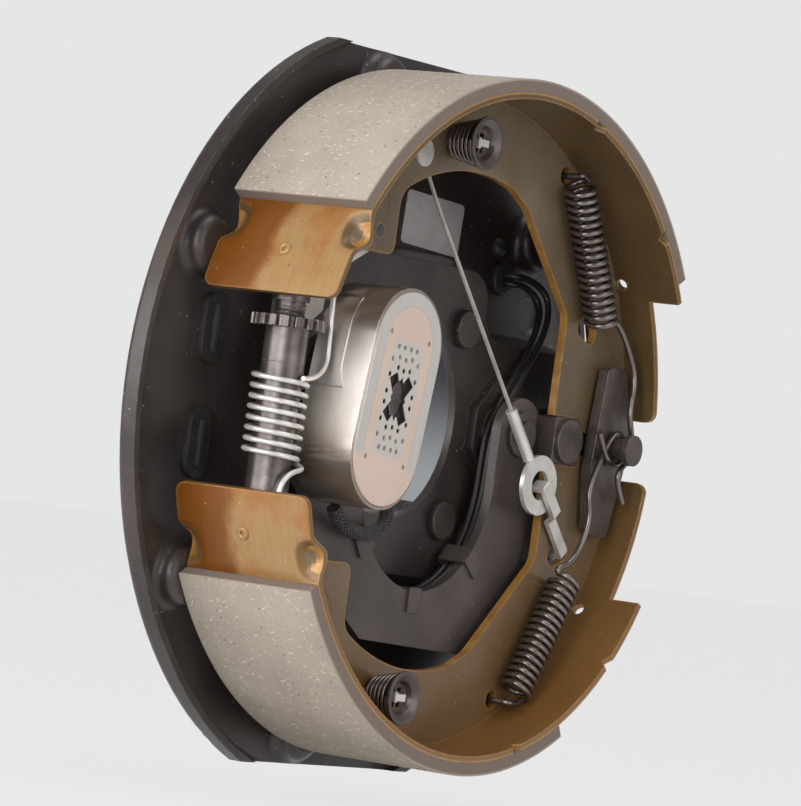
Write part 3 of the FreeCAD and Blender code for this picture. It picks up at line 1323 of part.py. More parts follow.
save("backing_plate", make_backing_plate())
save("slot_plug_upper", make_slot_plug(1))
save("slot_plug_lower", make_slot_plug(-1))
save("wire_grommet", make_grommet())
save("hole_plug", make_hole_plug())
save("blank_label", make_label())
save("mounting_studs", make_studs())
save("anchor_post", make_anchor_post())
save("anchor_plate", make_anchor_plate())
save("lever_pivot_post", make_pivot_post())
save("pivot_washer", make_pivot_washer())
save("actuating_lever", make_lever())
save("cam_block", make_cam_block())
save("cam_block_rivet", make_block_rivet())
save("lead_clips", make_lead_clips())
save("magnet_shell", make_magnet_shell())
save("magnet_core", make_magnet_core())
save("magnet_clip", make_magnet_clip())
save("magnet_post", make_magnet_post())
save("follower_spring", make_follower_spring())
save("lead_sleeve", make_sleeve())
for number in (1, 2):
    save("lead_wire_%d" % number, make_lead(number))
table = make_table(table_tongue_end_angle, table_wide_end_angle)
save("secondary_table", table)
save("primary_table", mirrored(table))
save("secondary_web", make_secondary_web())
save("primary_web", make_primary_web())
save("secondary_lining", make_lining(secondary_lining_span))
save("primary_lining", mirrored(make_lining(primary_lining_span)))
save("secondary_return_spring", make_secondary_return_spring())
save("primary_return_spring", make_primary_return_spring())
hold_downs = [make_hold_down(place) for place in (secondary_hold_place, primary_hold_place)]
for index, name in enumerate(("hold_down_pins", "hold_down_springs", "hold_down_cups")):
    save(name, Part.makeCompound([pieces[index] for pieces in hold_downs]))
save("cable_guide", make_cable_guide())
save("adjuster_cable", make_cable())
save("cable_button", make_cable_button())
save("cable_ferrule", make_ferrule())
save("cable_eyelet", make_eyelet())
save("cable_hook", make_cable_hook())
save("adjuster_lever", make_pawl())
save("adjuster_lever_pin", make_pawl_pin())
save("adjuster_socket", make_socket())
save("star_screw", make_star_screw())
save("adjuster_nut", make_nut())
save("adjuster_spring", make_adjuster_spring())
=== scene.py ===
"""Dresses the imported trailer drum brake: finishes, coils, threads, cable, leads, magnet face, stage and camera."""
import logging
import math
from dataclasses import dataclass
from enum import Enum
from functools import reduce
from itertools import product

import bmesh
import bpy
from mathutils import Matrix, Vector


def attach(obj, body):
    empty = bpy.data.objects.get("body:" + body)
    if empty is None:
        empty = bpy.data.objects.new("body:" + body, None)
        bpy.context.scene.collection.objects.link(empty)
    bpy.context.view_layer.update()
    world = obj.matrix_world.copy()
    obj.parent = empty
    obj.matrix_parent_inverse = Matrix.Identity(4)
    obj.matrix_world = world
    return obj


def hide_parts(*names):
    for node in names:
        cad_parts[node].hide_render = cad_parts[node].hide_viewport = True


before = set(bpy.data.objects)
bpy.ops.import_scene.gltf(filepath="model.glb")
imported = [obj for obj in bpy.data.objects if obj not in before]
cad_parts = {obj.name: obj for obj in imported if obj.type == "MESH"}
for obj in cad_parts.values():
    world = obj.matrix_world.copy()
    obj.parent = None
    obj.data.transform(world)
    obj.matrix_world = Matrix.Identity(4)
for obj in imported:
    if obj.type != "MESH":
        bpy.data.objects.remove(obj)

Pair = tuple[float, float]
Colour = tuple[float, float, float]
Place = tuple[float, float, float]
Route = tuple[Place, ...]
Socket = bpy.types.NodeSocket
Mesh = bpy.types.Mesh

MM = 0.001
MAGNET_CENTRE = (-63.4, 4.1)  # X and Z of the magnet's middle, in millimetres
MAGNET_TILT = 7.9  # its turn about Y, in degrees
MAGNET_FACE = -47.5  # Y of its friction face, in millimetres
EDGE_COSINES = (0.985, 0.80)  # how far a rounded normal leans where an edge starts and is full
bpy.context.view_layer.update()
log = logging.getLogger("brake")


# ---------------------------------------------------------------- finishes


class Graph:
    """Short calls that write one node tree."""

    def __init__(self, tree: bpy.types.NodeTree) -> None:
        """Takes the tree.

        Args:
            tree: a material's, a world's or a Geometry Nodes tree.
        """
        self.tree = tree

    def feed(self, socket: Socket, value: object) -> None:
        """Links a socket to the input, or writes a plain value on it."""
        if isinstance(value, Socket):
            self.tree.links.new(value, socket)
        else:
            socket.default_value = (*value, 1.0) if socket.type == "RGBA" else value

    def node(self, kind: str, settings: dict[str, object] | None = None, **inputs: object) -> bpy.types.Node:
        """Adds a node, sets its properties and feeds its inputs by name, with _ for a space."""
        made = self.tree.nodes.new(kind)
        for key, value in (settings or {}).items():
            setattr(made, key, value)
        for label, value in inputs.items():
            self.feed(made.inputs[label.replace("_", " ")], value)
        return made

    def maths(self, operation: str, *values: object, kind: str = "ShaderNodeMath") -> bpy.types.bpy_prop_collection:
        """The outputs of one Math or Vector Math node over sockets and plain values."""
        made = self.node(kind, {"operation": operation})
        for socket, value in zip(made.inputs, values):
            self.feed(socket, value)
        return made.outputs

    def times(self, *values: object) -> Socket:
        """Product."""
        return reduce(lambda one, two: self.maths("MULTIPLY", one, two)[0], values)

    def most(self, *values: object) -> Socket:
        """Largest of the values."""
        return reduce(lambda one, two: self.maths("MAXIMUM", one, two)[0], values)


class Recipe(Graph):
    """Short calls that write one material's node tree."""

    def __init__(self, name: str) -> None:
        """Starts an empty material whose output takes one Principled shader.

        Args:
            name: the material's name.
        """
        self.material = bpy.data.materials.new(name)
        self.material.use_nodes = True
        super().__init__(self.material.node_tree)
        self.tree.nodes.clear()
        self.shader = self.node("ShaderNodeBsdfPrincipled")
        self.output = self.node("ShaderNodeOutputMaterial", Surface=self.shader.outputs[0])
        self.place = self.node("ShaderNodeTexCoord").outputs["Object"]

    def vector(self, operation: str, *values: object) -> bpy.types.bpy_prop_collection:
        """The outputs of one Vector Math node."""
        return self.maths(operation, *values, kind="ShaderNodeVectorMath")

    def plus(self, one: object, two: object) -> Socket:
        """Sum."""
        return self.maths("ADD", one, two)[0]

    def minus(self, one: object, two: object) -> Socket:
        """Difference."""
        return self.maths("SUBTRACT", one, two)[0]

    def size(self, value: Socket) -> Socket:
        """Value without its sign."""
        return self.maths("ABSOLUTE", value)[0]

    def noise(self, size: float, detail: float = 3.0, place: Socket | None = None, rough: float = 0.55) -> Socket:
        """Noise whose lumps are about size metres wide."""
        return self.node("ShaderNodeTexNoise", Vector=place or self.place, Scale=1.0 / size, Detail=detail,
                         Roughness=rough).outputs["Fac"]

    def patches(self, size: float, detail: float, low: float, high: float) -> Socket:
        """Noise parted softly into patches of 0 and 1."""
        return self.step(self.noise(size, detail), low, high)

    def cells(self, size: float, place: Socket | None = None) -> Socket:
        """Distance to scattered points about size metres apart."""
        return self.node("ShaderNodeTexVoronoi", Vector=place or self.place, Scale=1.0 / size).outputs["Distance"]

    def mapped(self, scale: Place = (1, 1, 1), centre: Place = (0, 0, 0), turn: float = 0.0) -> Socket:
        """Object coordinates about a centre, turned about Y by degrees, then scaled."""
        moved = self.vector("SUBTRACT", self.place, centre)[0]
        return self.node("ShaderNodeMapping", Vector=moved, Rotation=(0, math.radians(turn), 0), Scale=scale).outputs[0]

    def axes(self, place: Socket | None = None) -> list[Socket]:
        """The three coordinates of a vector socket."""
        return list(self.node("ShaderNodeSeparateXYZ", Vector=place or self.place).outputs)

    def magnet_axes(self) -> list[Socket]:
        """Coordinates across, out of and along the tilted magnet, about its middle."""
        x, z = MAGNET_CENTRE
        return self.axes(self.mapped(centre=(x * MM, 0.0, z * MM), turn=-MAGNET_TILT))

    def reach(self, across: Socket, along: Socket) -> Socket:
        """Length of the vector made of coordinates in X and Z."""
        return self.vector("LENGTH", self.node("ShaderNodeCombineXYZ", X=across, Z=along).outputs[0])["Value"]

    def step(self, value: Socket, low: float, high: float) -> Socket:
        """Smooth rise from 0 at low to 1 at high."""
        return self.node("ShaderNodeMapRange", {"interpolation_type": "SMOOTHSTEP"}, Value=value, From_Min=low,
                         From_Max=high).outputs[0]

    def mix(self, amount: object, low: object, high: object) -> Socket:
        """Blend of two colours."""
        made = self.node("ShaderNodeMix", {"data_type": "RGBA"})
        for index, value in ((0, amount), (6, low), (7, high)):
            self.feed(made.inputs[index], value)
        return made.outputs[2]

    def stain(self, base: object, tint: object, strength: float, where: Socket) -> Socket:
        """The base colour with a tint where a socket says, at a strength."""
        return self.mix(self.times(where, strength), base, tint)

    def rounded(self, radius: float) -> Socket:
        """Normal with edges rounded by a radius."""
        return self.node("ShaderNodeBevel", {"samples": 4}, Radius=radius).outputs[0]

    def edges(self, width: float) -> Socket:
        """1 along outer and inner edges, over about width metres."""
        hard = self.node("ShaderNodeNewGeometry").outputs["Normal"]
        return self.step(self.vector("DOT_PRODUCT", self.rounded(width), hard)["Value"], *EDGE_COSINES)

    def relief(self, *layers: tuple[Socket, float], round_edge: float = 0.0) -> None:
        """Bump from height layers, on edges rounded by a radius.

        Args:
            layers: height sockets and how high each stands, in metres.
            round_edge: radius of the softened edges, in metres.
        """
        normal = {"Normal": self.rounded(round_edge)} if round_edge else {}
        for height, distance in layers:
            made = self.node("ShaderNodeBump", Strength=1.0, Distance=distance, Height=height, **normal)
            normal = {"Normal": made.outputs[0]}
        self.shade(**normal)

    def shade(self, **inputs: object) -> None:
        """Feeds the shader's inputs by name, with _ for a space."""
        for label, value in inputs.items():
            self.feed(self.shader.inputs[label.replace("_", " ")], value)

    def surface(self, colour: object, rough: object, metal: float = 0.0, coat: float = 0.0) -> None:
        """Writes the shader's main values."""
        self.shade(Base_Color=colour, Roughness=rough, Metallic=metal, Coat_Weight=coat, Coat_Roughness=0.25)


@dataclass(frozen=True)
class Finish:
    """A plain finish: two tones in soft clouds, fine grain, settled dust and worn edges."""

    name: str
    colour: Colour
    second: Colour
    rough: float = 0.45
    metal: float = 0.0
    coat: float = 0.0
    cloud: float = 0.02
    grain: float = 0.0006
    relief: float = 0.00002
    dust: float = 0.0
    dust_colour: Colour = (0.42, 0.36, 0.31)
    worn: Colour | None = None
    edge: float = 0.0004

    def build(self) -> bpy.types.Material:
        """Writes the finish as a material."""
        recipe = Recipe(self.name)
        self.paint(recipe)
        return recipe.material

    def paint(self, recipe: Recipe) -> None:
        """Fills the material's recipe.

        Args:
            recipe: the recipe to fill.
        """
        colour = recipe.mix(recipe.patches(self.cloud, 5, 0.35, 0.68), self.colour, self.second)
        grain = recipe.noise(self.grain, 2)
        if self.worn:
            broken = recipe.times(recipe.edges(self.edge), recipe.patches(0.004, 4, 0.40, 0.60))
            colour = recipe.mix(broken, colour, self.worn)
        if self.dust:
            specks = recipe.step(recipe.cells(0.0042), 0.11, 0.05)
            patches = recipe.patches(0.03, 3, 0.42, 0.62)
            amount = recipe.times(specks, patches, self.dust)
            film = recipe.times(recipe.patches(0.05, 6, 0.45, 0.75), 0.08 * self.dust)
            colour = recipe.mix(recipe.plus(amount, film), colour, self.dust_colour)
        rough = recipe.plus(recipe.times(recipe.noise(self.cloud * 0.4, 4), 0.22), self.rough - 0.11)
        recipe.surface(colour, rough, self.metal, self.coat)
        recipe.relief((grain, self.relief), round_edge=self.edge)


@dataclass(frozen=True)
class ShoeVarnish(Finish):
    """Thin amber varnish on bare steel: olive-brown where thin, orange in runs, at ends and along edges; the tables'
    inner faces carry painted shade, painted lighter and more orange low down as painted light.
    """

    amber: Colour = (0.21, 0.062, 0.001)
    tan: Colour = (0.40, 0.235, 0.090)
    golden: Colour = (0.58, 0.29, 0.07)
    inner_painted_shade: Colour = (0.080, 0.047, 0.017)
    web_radius: float = 0.1192
    table_radius: float = 0.1216
    scribes: tuple[tuple[float, float, float], ...] = ((-0.0615, 0.0714, 0.0080), (-0.0659, -0.0757, 0.0104))

    def paint(self, recipe: Recipe) -> None:
        """Fills the varnish's recipe."""
        x, y, z = recipe.axes()
        clouds = recipe.noise(0.022, 6, rough=0.62)
        radius = recipe.reach(x, z)
        outer = recipe.step(radius, self.table_radius - 0.0012, self.table_radius - 0.0004)
        table = recipe.step(radius, self.web_radius - 0.0003, self.web_radius - 0.0001)
        inner = recipe.minus(table, outer)
        drips = recipe.plus(y, recipe.times(clouds, 0.016))
        rear_run = recipe.times(recipe.step(drips, -0.014, -0.006), outer)
        # low is 1 towards the bottom: the web is painted more orange there; on the tables' inner faces it is painted
        # light, as those low faces face up to the lamps
        low = recipe.step(z, 0.02, -0.11)
        steel = recipe.mix(recipe.patches(0.06, 4, 0.36, 0.66), self.colour, self.second)
        steel = recipe.stain(steel, (0.17, 0.105, 0.045), 0.55, recipe.step(clouds, 0.40, 0.66))
        steel = recipe.stain(steel, (0.19, 0.095, 0.026), 0.65, low)
        reddish = recipe.mix(recipe.step(clouds, 0.42, 0.66), self.tan, (0.37, 0.155, 0.038))
        colour = recipe.mix(outer, steel, reddish)
        colour = recipe.mix(rear_run, colour, self.amber)
        # painted shade: the tables' inner faces get a dark brown standing in for the shade they lie in
        brown = recipe.mix(clouds, self.inner_painted_shade, (0.19, 0.11, 0.038))
        brown = recipe.stain(brown, (0.30, 0.135, 0.028), 0.7, low)
        colour = recipe.stain(colour, brown, 0.9, inner)
        facing = recipe.node("ShaderNodeNewGeometry").outputs["True Normal"]
        sideways = recipe.step(recipe.size(recipe.axes(facing)[1]), 0.6, 0.3)
        cut_edge = recipe.times(recipe.minus(1.0, table), sideways)
        rims = recipe.most(cut_edge, recipe.times(recipe.edges(0.0014), 0.9))
        blotched = recipe.mix(recipe.patches(0.008, 4, 0.35, 0.65), self.golden, (0.42, 0.19, 0.04))
        colour = recipe.stain(colour, blotched, 0.9, rims)
        streaks = recipe.step(recipe.noise(0.0006, 1, place=recipe.mapped((0.04, 1, 0.04))), 0.45, 0.75)
        strength = recipe.plus(recipe.times(rear_run, 0.25), 0.16)
        colour = recipe.mix(recipe.times(streaks, recipe.times(outer, strength)), colour, (0.12, 0.045, 0.010))
        spots = recipe.step(recipe.cells(0.009), 0.07, 0.03)
        colour = recipe.stain(colour, (0.09, 0.045, 0.02), 0.55, spots)
        specks = recipe.step(recipe.cells(0.0046, recipe.mapped((1, 1, 1), (0.3, 0.1, 0.2), 17)), 0.09, 0.05)
        sparse = recipe.patches(0.02, 2, 0.46, 0.60)
        colour = recipe.stain(colour, (0.55, 0.48, 0.40), 0.6, recipe.times(specks, sparse))
        chips = recipe.times(recipe.edges(0.0005), recipe.patches(0.0035, 3, 0.57, 0.66))
        colour = recipe.stain(colour, (0.62, 0.55, 0.48), 0.8, chips)
        front = recipe.minus(1.0, table)
        for centre_x, centre_z, ring in self.scribes:
            around = recipe.reach(recipe.minus(x, centre_x), recipe.minus(z, centre_z))
            line = recipe.step(recipe.size(recipe.minus(around, ring)), 0.00045, 0.00015)
            arc = recipe.times(line, front, recipe.step(x, centre_x - 0.004, centre_x))
            colour = recipe.stain(colour, (0.07, 0.045, 0.025), 0.75, arc)
        rough = recipe.plus(recipe.times(clouds, 0.22), self.rough - 0.11)
        recipe.surface(colour, rough, self.metal, self.coat)
        recipe.relief((recipe.noise(0.0007, 3), self.relief), (clouds, 0.00012), round_edge=self.edge)


@dataclass(frozen=True)
class LiningCompound(Finish):
    """Ground friction compound: sandy rubbed face with pits; the sides are darker than the face."""

    side: Colour = (0.17, 0.135, 0.115)
    face_radius: float = 0.1262

    def paint(self, recipe: Recipe) -> None:
        """Fills the compound's recipe."""
        x, _, z = recipe.axes()
        face = recipe.step(recipe.reach(x, z), self.face_radius - 0.0007, self.face_radius)
        fine = recipe.noise(0.0012, 4, rough=0.7)
        sandy = recipe.mix(recipe.patches(0.03, 4, 0.35, 0.7), self.colour, self.second)
        sandy = recipe.stain(sandy, (0.26, 0.215, 0.175), 0.35, recipe.step(fine, 0.35, 0.75))
        pits = recipe.step(recipe.cells(0.0042), 0.13, 0.07)
        light = recipe.step(recipe.cells(0.0033, recipe.mapped((1, 1, 1), (0.37, 0.21, 0.13), 31)), 0.12, 0.06)
        sandy = recipe.stain(sandy, (0.13, 0.11, 0.10), 0.65, pits)
        sandy = recipe.stain(sandy, (0.72, 0.64, 0.56), 0.55, light)
        colour = recipe.mix(face, recipe.mix(fine, self.side, (0.25, 0.19, 0.15)), sandy)
        recipe.surface(colour, self.rough)
        recipe.relief((fine, 0.0001), (pits, -0.0002), round_edge=self.edge)


@dataclass(frozen=True)
class FrictionFace(Finish):
    """Cream magnet face: grey ground border and lighter eight-cornered middle, both on the tilted obround; the recessed
    pocket and holes near the middle are painted near-black as painted shade.
    """

    border: Colour = (0.60, 0.57, 0.54)
    middle: Colour = (0.60, 0.55, 0.50)
    straight: float = 0.0190
    ring: float = 0.0143
    ring_end: Pair = (-0.0245, -0.0215)
    plate_side: float = 0.0098
    plate_end: float = 0.0207
    plate_corner: float = 0.0278
    pocket_edge: Pair = (0.0125, 0.0115)

    def paint(self, recipe: Recipe) -> None:
        """Fills the face's recipe."""
        across, _, along = recipe.magnet_axes()
        beyond = recipe.most(recipe.minus(recipe.size(along), self.straight), 0.0)
        reach = recipe.reach(across, beyond)
        ragged = recipe.plus(reach, recipe.times(recipe.noise(0.004, 3), 0.0005))
        worn = recipe.step(along, *self.ring_end)
        rim = recipe.times(recipe.step(ragged, self.ring, self.ring + 0.0004), worn)
        side = recipe.minus(recipe.size(across), self.plate_side)
        corner = recipe.minus(recipe.plus(recipe.size(across), recipe.size(along)), self.plate_corner)
        end = recipe.minus(recipe.size(along), self.plate_end)
        plate = recipe.step(recipe.most(side, end, corner), 0.0002, -0.0002)
        cream = recipe.mix(recipe.patches(0.02, 5, 0.35, 0.7), self.colour, self.second)
        fine = recipe.noise(0.0010, 4, rough=0.7)
        cream = recipe.stain(cream, (0.46, 0.34, 0.27), 0.35, recipe.step(fine, 0.52, 0.8))
        lines = recipe.noise(0.0006, 2, place=recipe.mapped((1, 1, 0.05)))
        ground = recipe.stain(self.border, (0.42, 0.39, 0.36), 0.5, lines)
        colour = recipe.mix(rim, cream, ground)
        colour = recipe.mix(plate, colour, recipe.stain(self.middle, ground, 0.5, fine))
        line = recipe.times(recipe.step(recipe.size(recipe.minus(reach, self.ring)), 0.00022, 0.0), worn)
        colour = recipe.stain(colour, (0.28, 0.23, 0.19), 0.5, line)
        # painted shade: recesses deeper than the face near its middle are painted near-black
        face = MAGNET_FACE * MM
        pocket_painted_shade = recipe.times(recipe.step(recipe.reach(across, along), *self.pocket_edge),
                              recipe.step(recipe.axes()[1], face + 0.0002, face + 0.0006))
        colour = recipe.mix(pocket_painted_shade, colour, (0.030, 0.023, 0.020))
        recipe.surface(colour, self.rough)
        recipe.relief((fine, 0.00003), round_edge=self.edge)


@dataclass(frozen=True)
class NickelShell(Finish):
    """Drawn nickel shell with smears, draw marks and a pressed step on its left flank; its ends are painted darker as a
    painted reflection.
    """

    step_height: float = 0.0006
    step_depth: Pair = (-0.0358, -0.0350)
    step_side: Pair = (-0.015, -0.017)

    def paint(self, recipe: Recipe) -> None:
        """Fills the shell's recipe."""
        across, deep, along = recipe.magnet_axes()
        smear = recipe.noise(0.012, 6, place=recipe.mapped((1, 1, 0.35)), rough=0.65)
        colour = recipe.mix(recipe.step(smear, 0.4, 0.7), self.colour, self.second)
        drawn = recipe.noise(0.0022, 3, place=recipe.mapped((1, 0.12, 1)))
        ends = recipe.step(recipe.size(along), 0.012, 0.026)
        scuffed = recipe.times(recipe.step(drawn, 0.45, 0.75), ends)
        colour = recipe.stain(colour, (0.80, 0.72, 0.62), 0.35, scuffed)
        middle = recipe.times(recipe.step(recipe.size(along), 0.026, 0.012), 0.26)
        # painted reflection: the shell is painted darker towards both ends, where it would mirror darker surroundings
        colour = recipe.mix(recipe.step(recipe.size(along), 0.012, 0.030), colour, (0.44, 0.37, 0.32))
        rough = recipe.plus(middle, recipe.plus(recipe.times(smear, 0.18), self.rough - 0.05))
        upper = recipe.step(along, -0.0020, -0.0010)
        slanted = recipe.plus(deep, recipe.times(recipe.step(along, 0.006, -0.003), 0.003))
        step = recipe.times(upper, recipe.step(slanted, *self.step_depth), recipe.step(across, *self.step_side))
        recipe.surface(colour, rough, self.metal)
        recipe.relief((step, self.step_height), (smear, 0.00018), (drawn, 0.00004), round_edge=self.edge)


class Look(Enum):
    """The brake's finishes."""

    PLATE = Finish("black_plate_paint", (0.027, 0.0195, 0.018), (0.044, 0.033, 0.030), 0.40, coat=0.2, cloud=0.05,
                   dust=0.9, relief=0.00003, worn=(0.15, 0.12, 0.11), edge=0.0008)
    LEVER = Finish("dark_lever_coating", (0.075, 0.058, 0.054), (0.105, 0.084, 0.078), 0.40, metal=0.15, cloud=0.03,
                   dust=0.6, relief=0.00003, worn=(0.20, 0.17, 0.16), edge=0.0006)
    SHOE = ShoeVarnish("amber_shoe_varnish", (0.215, 0.160, 0.105), (0.125, 0.085, 0.042), 0.38, metal=0.2, coat=0.35,
                       relief=0.00003)
    LINING = LiningCompound("friction_lining", (0.45, 0.39, 0.315), (0.38, 0.325, 0.265), 0.88)
    OXIDE = Finish("black_oxide_steel", (0.10, 0.080, 0.074), (0.15, 0.122, 0.114), 0.36, metal=0.6, cloud=0.012,
                   dust=0.3, worn=(0.40, 0.35, 0.32))
    ADJUSTER = Finish("machined_dark_steel", (0.115, 0.095, 0.09), (0.18, 0.155, 0.15), 0.33, metal=0.8, cloud=0.010,
                      dust=0.2, worn=(0.62, 0.58, 0.55), grain=0.0009, relief=0.00004)
    SPRING = Finish("oiled_spring_wire", (0.19, 0.16, 0.15), (0.23, 0.20, 0.19), 0.25, metal=0.9, cloud=0.03,
                    dust=0.25, edge=0.0)
    ZINC = Finish("bright_zinc", (0.80, 0.77, 0.73), (0.68, 0.645, 0.61), 0.32, metal=0.55, cloud=0.008,
                  edge=0.0003)
    CABLE = Finish("cable_strand", (0.60, 0.56, 0.52), (0.46, 0.42, 0.39), 0.34, metal=0.6, cloud=0.01, edge=0.0)
    NICKEL = NickelShell("nickel_shell", (0.86, 0.80, 0.75), (0.74, 0.67, 0.61), 0.20, metal=0.8, edge=0.0007)
    FACE = FrictionFace("cream_friction_face", (0.70, 0.555, 0.46), (0.67, 0.52, 0.43), 0.72, edge=0.0002)
    RUBBER = Finish("black_rubber", (0.022, 0.021, 0.021), (0.034, 0.032, 0.031), 0.48, cloud=0.008, dust=0.4,
                    edge=0.0006)
    LEAD = Finish("black_lead_cover", (0.020, 0.018, 0.018), (0.030, 0.027, 0.026), 0.34, cloud=0.01, dust=0.2,
                  edge=0.0)
    BRAID = Finish("sleeve_braid", (0.030, 0.028, 0.027), (0.075, 0.070, 0.067), 0.45, cloud=0.001, edge=0.0)
    PAPER = Finish("blank_paper_label", (0.46, 0.44, 0.43), (0.40, 0.38, 0.365), 0.62, cloud=0.012, dust=0.3,
                   edge=0.0002)
    FIBRE = Finish("lining_fibre", (0.80, 0.74, 0.66), (0.68, 0.60, 0.50), 0.55, edge=0.0)


class Palette:
    """Builds each finish once."""

    made: dict[Look, bpy.types.Material] = {}

    @classmethod
    def material(cls, look: Look) -> bpy.types.Material:
        """The material of one finish."""
        if look not in cls.made:
            cls.made[look] = look.value.build()
        return cls.made[look]


# ---------------------------------------------------------------- shapes


def metres(points: list[Place]) -> list[Vector]:
    """Points in millimetres as vectors in metres."""
    return [Vector(point) * MM for point in points]


def mesh_of(source: bpy.types.Object) -> Mesh:
    """The evaluated mesh of an object, which is then removed.

    Args:
        source: a curve, or a mesh with its modifiers.

    Returns:
        A plain mesh in the row's frame.
    """
    bpy.context.view_layer.update()
    evaluated = source.evaluated_get(bpy.context.evaluated_depsgraph_get())
    mesh = bpy.data.meshes.new_from_object(evaluated)
    bpy.data.objects.remove(source)
    return mesh


def linked(name: str, data: bpy.types.ID) -> bpy.types.Object:
    """A new object in the scene's collection."""
    made = bpy.data.objects.new(name, data)
    bpy.context.scene.collection.objects.link(made)
    return made


def route_curve(points: list[Vector], diameter: float, sides: int = 4) -> bpy.types.Curve:
    """One smooth open spline with the route's points as its control points.

    Args:
        points: the route, in metres.
        diameter: the round section's diameter, or 0 for the line alone.
        sides: bevel resolution.

    Returns:
        The curve.
    """
    curve = bpy.data.curves.new("route", "CURVE")
    curve.dimensions = "3D"
    curve.resolution_u = 10
    curve.bevel_depth = diameter / 2
    curve.bevel_resolution = sides
    curve.use_fill_caps = diameter > 0
    spline = curve.splines.new("NURBS")
    spline.points.add(len(points) - 1)
    for control, point in zip(spline.points, points):
        control.co = (*point, 1.0)
    spline.order_u = 3
    spline.use_endpoint_u = True
    return curve


def wire(points: list[Place], diameter: float) -> Mesh:
    """Bent round wire through corners given in millimetres."""
    return mesh_of(linked("wire", route_curve(metres(points), diameter * MM)))


def laid(points: list[Vector]) -> tuple[Mesh, list[Place], float]:
    """The smooth line along a route as a mesh, its points and its length."""
    line = mesh_of(linked("line", route_curve(points, 0.0)))
    path = [tuple(vertex.co) for vertex in line.vertices]
    return line, path, sum(math.dist(one, two) for one, two in zip(path, path[1:]))


def solid(name: str, corners: list[Place], faces: list[tuple[int, ...]]) -> Mesh:
    """A mesh from corners and faces."""
    mesh = bpy.data.meshes.new(name)
    mesh.from_pydata(corners, [], faces)
    return mesh


def opened(*meshes: Mesh) -> bmesh.types.BMesh:
    """Meshes together as one working mesh."""
    work = bmesh.new()
    for mesh in meshes:
        work.from_mesh(mesh)
    return work


def closed(work: bmesh.types.BMesh) -> Mesh:
    """The working mesh as a mesh."""
    mesh = bpy.data.meshes.new("closed")
    work.to_mesh(mesh)
    work.free()
    return mesh


def joined(*meshes: Mesh) -> Mesh:
    """Several meshes as one."""
    return closed(opened(*meshes))


def shown(name: str, mesh: Mesh, look: Look, body: str, stands_for: tuple[str, ...] = (),
          smooth: bool = True) -> bpy.types.Object:
    """Adds a finished piece to the brake.

    Args:
        name: the piece's name.
        mesh: its mesh, in place.
        look: its finish.
        body: the moving body that carries it.
        stands_for: the nodes that it replaces.
        smooth: whether its faces shade smooth.

    Returns:
        The piece.
    """
    mesh.materials.clear()
    mesh.materials.append(Palette.material(look))
    mesh.polygons.foreach_set("use_smooth", [smooth] * len(mesh.polygons))
    made = linked(name, mesh)
    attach(made, body)
    if stands_for:
        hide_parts(*stands_for)
    log.info("%s: %d faces on %s", name, len(mesh.polygons), body)
    return made


def node_copy(node: str) -> Mesh:
    """A merged copy of a node's mesh."""
    work = opened(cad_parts[node].data)
    bmesh.ops.remove_doubles(work, verts=work.verts, dist=1e-6)
    return closed(work)


# ---------------------------------------------------------------- geometry nodes


class Tree(Graph):
    """Short calls that write one Geometry Nodes tree."""

    def __init__(self, name: str, **inputs: str) -> None:
        """Starts a tree with a Material input.

        Args:
            name: the tree's name.
            inputs: input names and their socket types, without the prefix.
        """
        super().__init__(bpy.data.node_groups.new(name, "GeometryNodeTree"))
        kinds = {"Geometry": "Geometry", **inputs, "Material": "Material"}
        for label, kind in kinds.items():
            self.tree.interface.new_socket(label, in_out="INPUT", socket_type="NodeSocket" + kind)
        self.tree.interface.new_socket("Geometry", in_out="OUTPUT", socket_type="NodeSocketGeometry")
        self.given = self.node("NodeGroupInput").outputs

    def ring(self, count: object, radius: object) -> Socket:
        """Circle of points."""
        return self.node("GeometryNodeCurvePrimitiveCircle", Resolution=count, Radius=radius).outputs[0]

    def swept(self, path: Socket, section: Socket) -> "Tree":
        """Ends the tree in a capped tube of a section along a path."""
        tube = self.node("GeometryNodeCurveToMesh", Curve=path, Profile_Curve=section, Fill_Caps=True)
        return self.finish(tube.outputs[0])

    def chance(self, low: float, high: float, seed: int = 0) -> Socket:
        """Random number between two bounds."""
        made = self.node("FunctionNodeRandomValue", {"data_type": "FLOAT"}, Seed=seed)
        made.inputs[2].default_value = low
        made.inputs[3].default_value = high
        return made.outputs[1]

    def finish(self, geometry: Socket) -> "Tree":
        """Ends the tree in Realize Instances and Set Material."""
        real = self.node("GeometryNodeRealizeInstances", Geometry=geometry)
        dressed = self.node("GeometryNodeSetMaterial", Geometry=real.outputs[0], Material=self.given["Material"])
        self.node("NodeGroupOutput", Geometry=dressed.outputs[0])
        return self

    def grown(self, base: Mesh, look: Look, **values: object) -> Mesh:
        """Runs the tree on a mesh and returns the result as a plain mesh.

        Args:
            base: the mesh that the tree starts from.
            look: the finish set on the result.
            values: the tree's inputs by name.

        Returns:
            The grown mesh.
        """
        source = linked("grown", base)
        modifier = source.modifiers.new("grown", "NODES")
        modifier.node_group = self.tree
        values["Material"] = Palette.material(look)
        for item in self.tree.interface.items_tree:
            if item.in_out == "INPUT" and item.name in values:
                modifier[item.identifier] = values[item.name]
        return mesh_of(source)


def helix_tree() -> Tree:
    """Wire of any section wound along Z: coil springs, and thread ridges with a four-sided section."""
    tree = Tree("helix", Radius="Float", End="Float", Wire="Float", Turns="Float", Height="Float", Sides="Int")
    given = tree.given
    line = tree.node("GeometryNodeCurveSpiral", Resolution=40, Rotations=given["Turns"], Start_Radius=given["Radius"],
                     End_Radius=given["End"], Height=given["Height"])
    return tree.swept(line.outputs[0], tree.ring(given["Sides"], given["Wire"]))


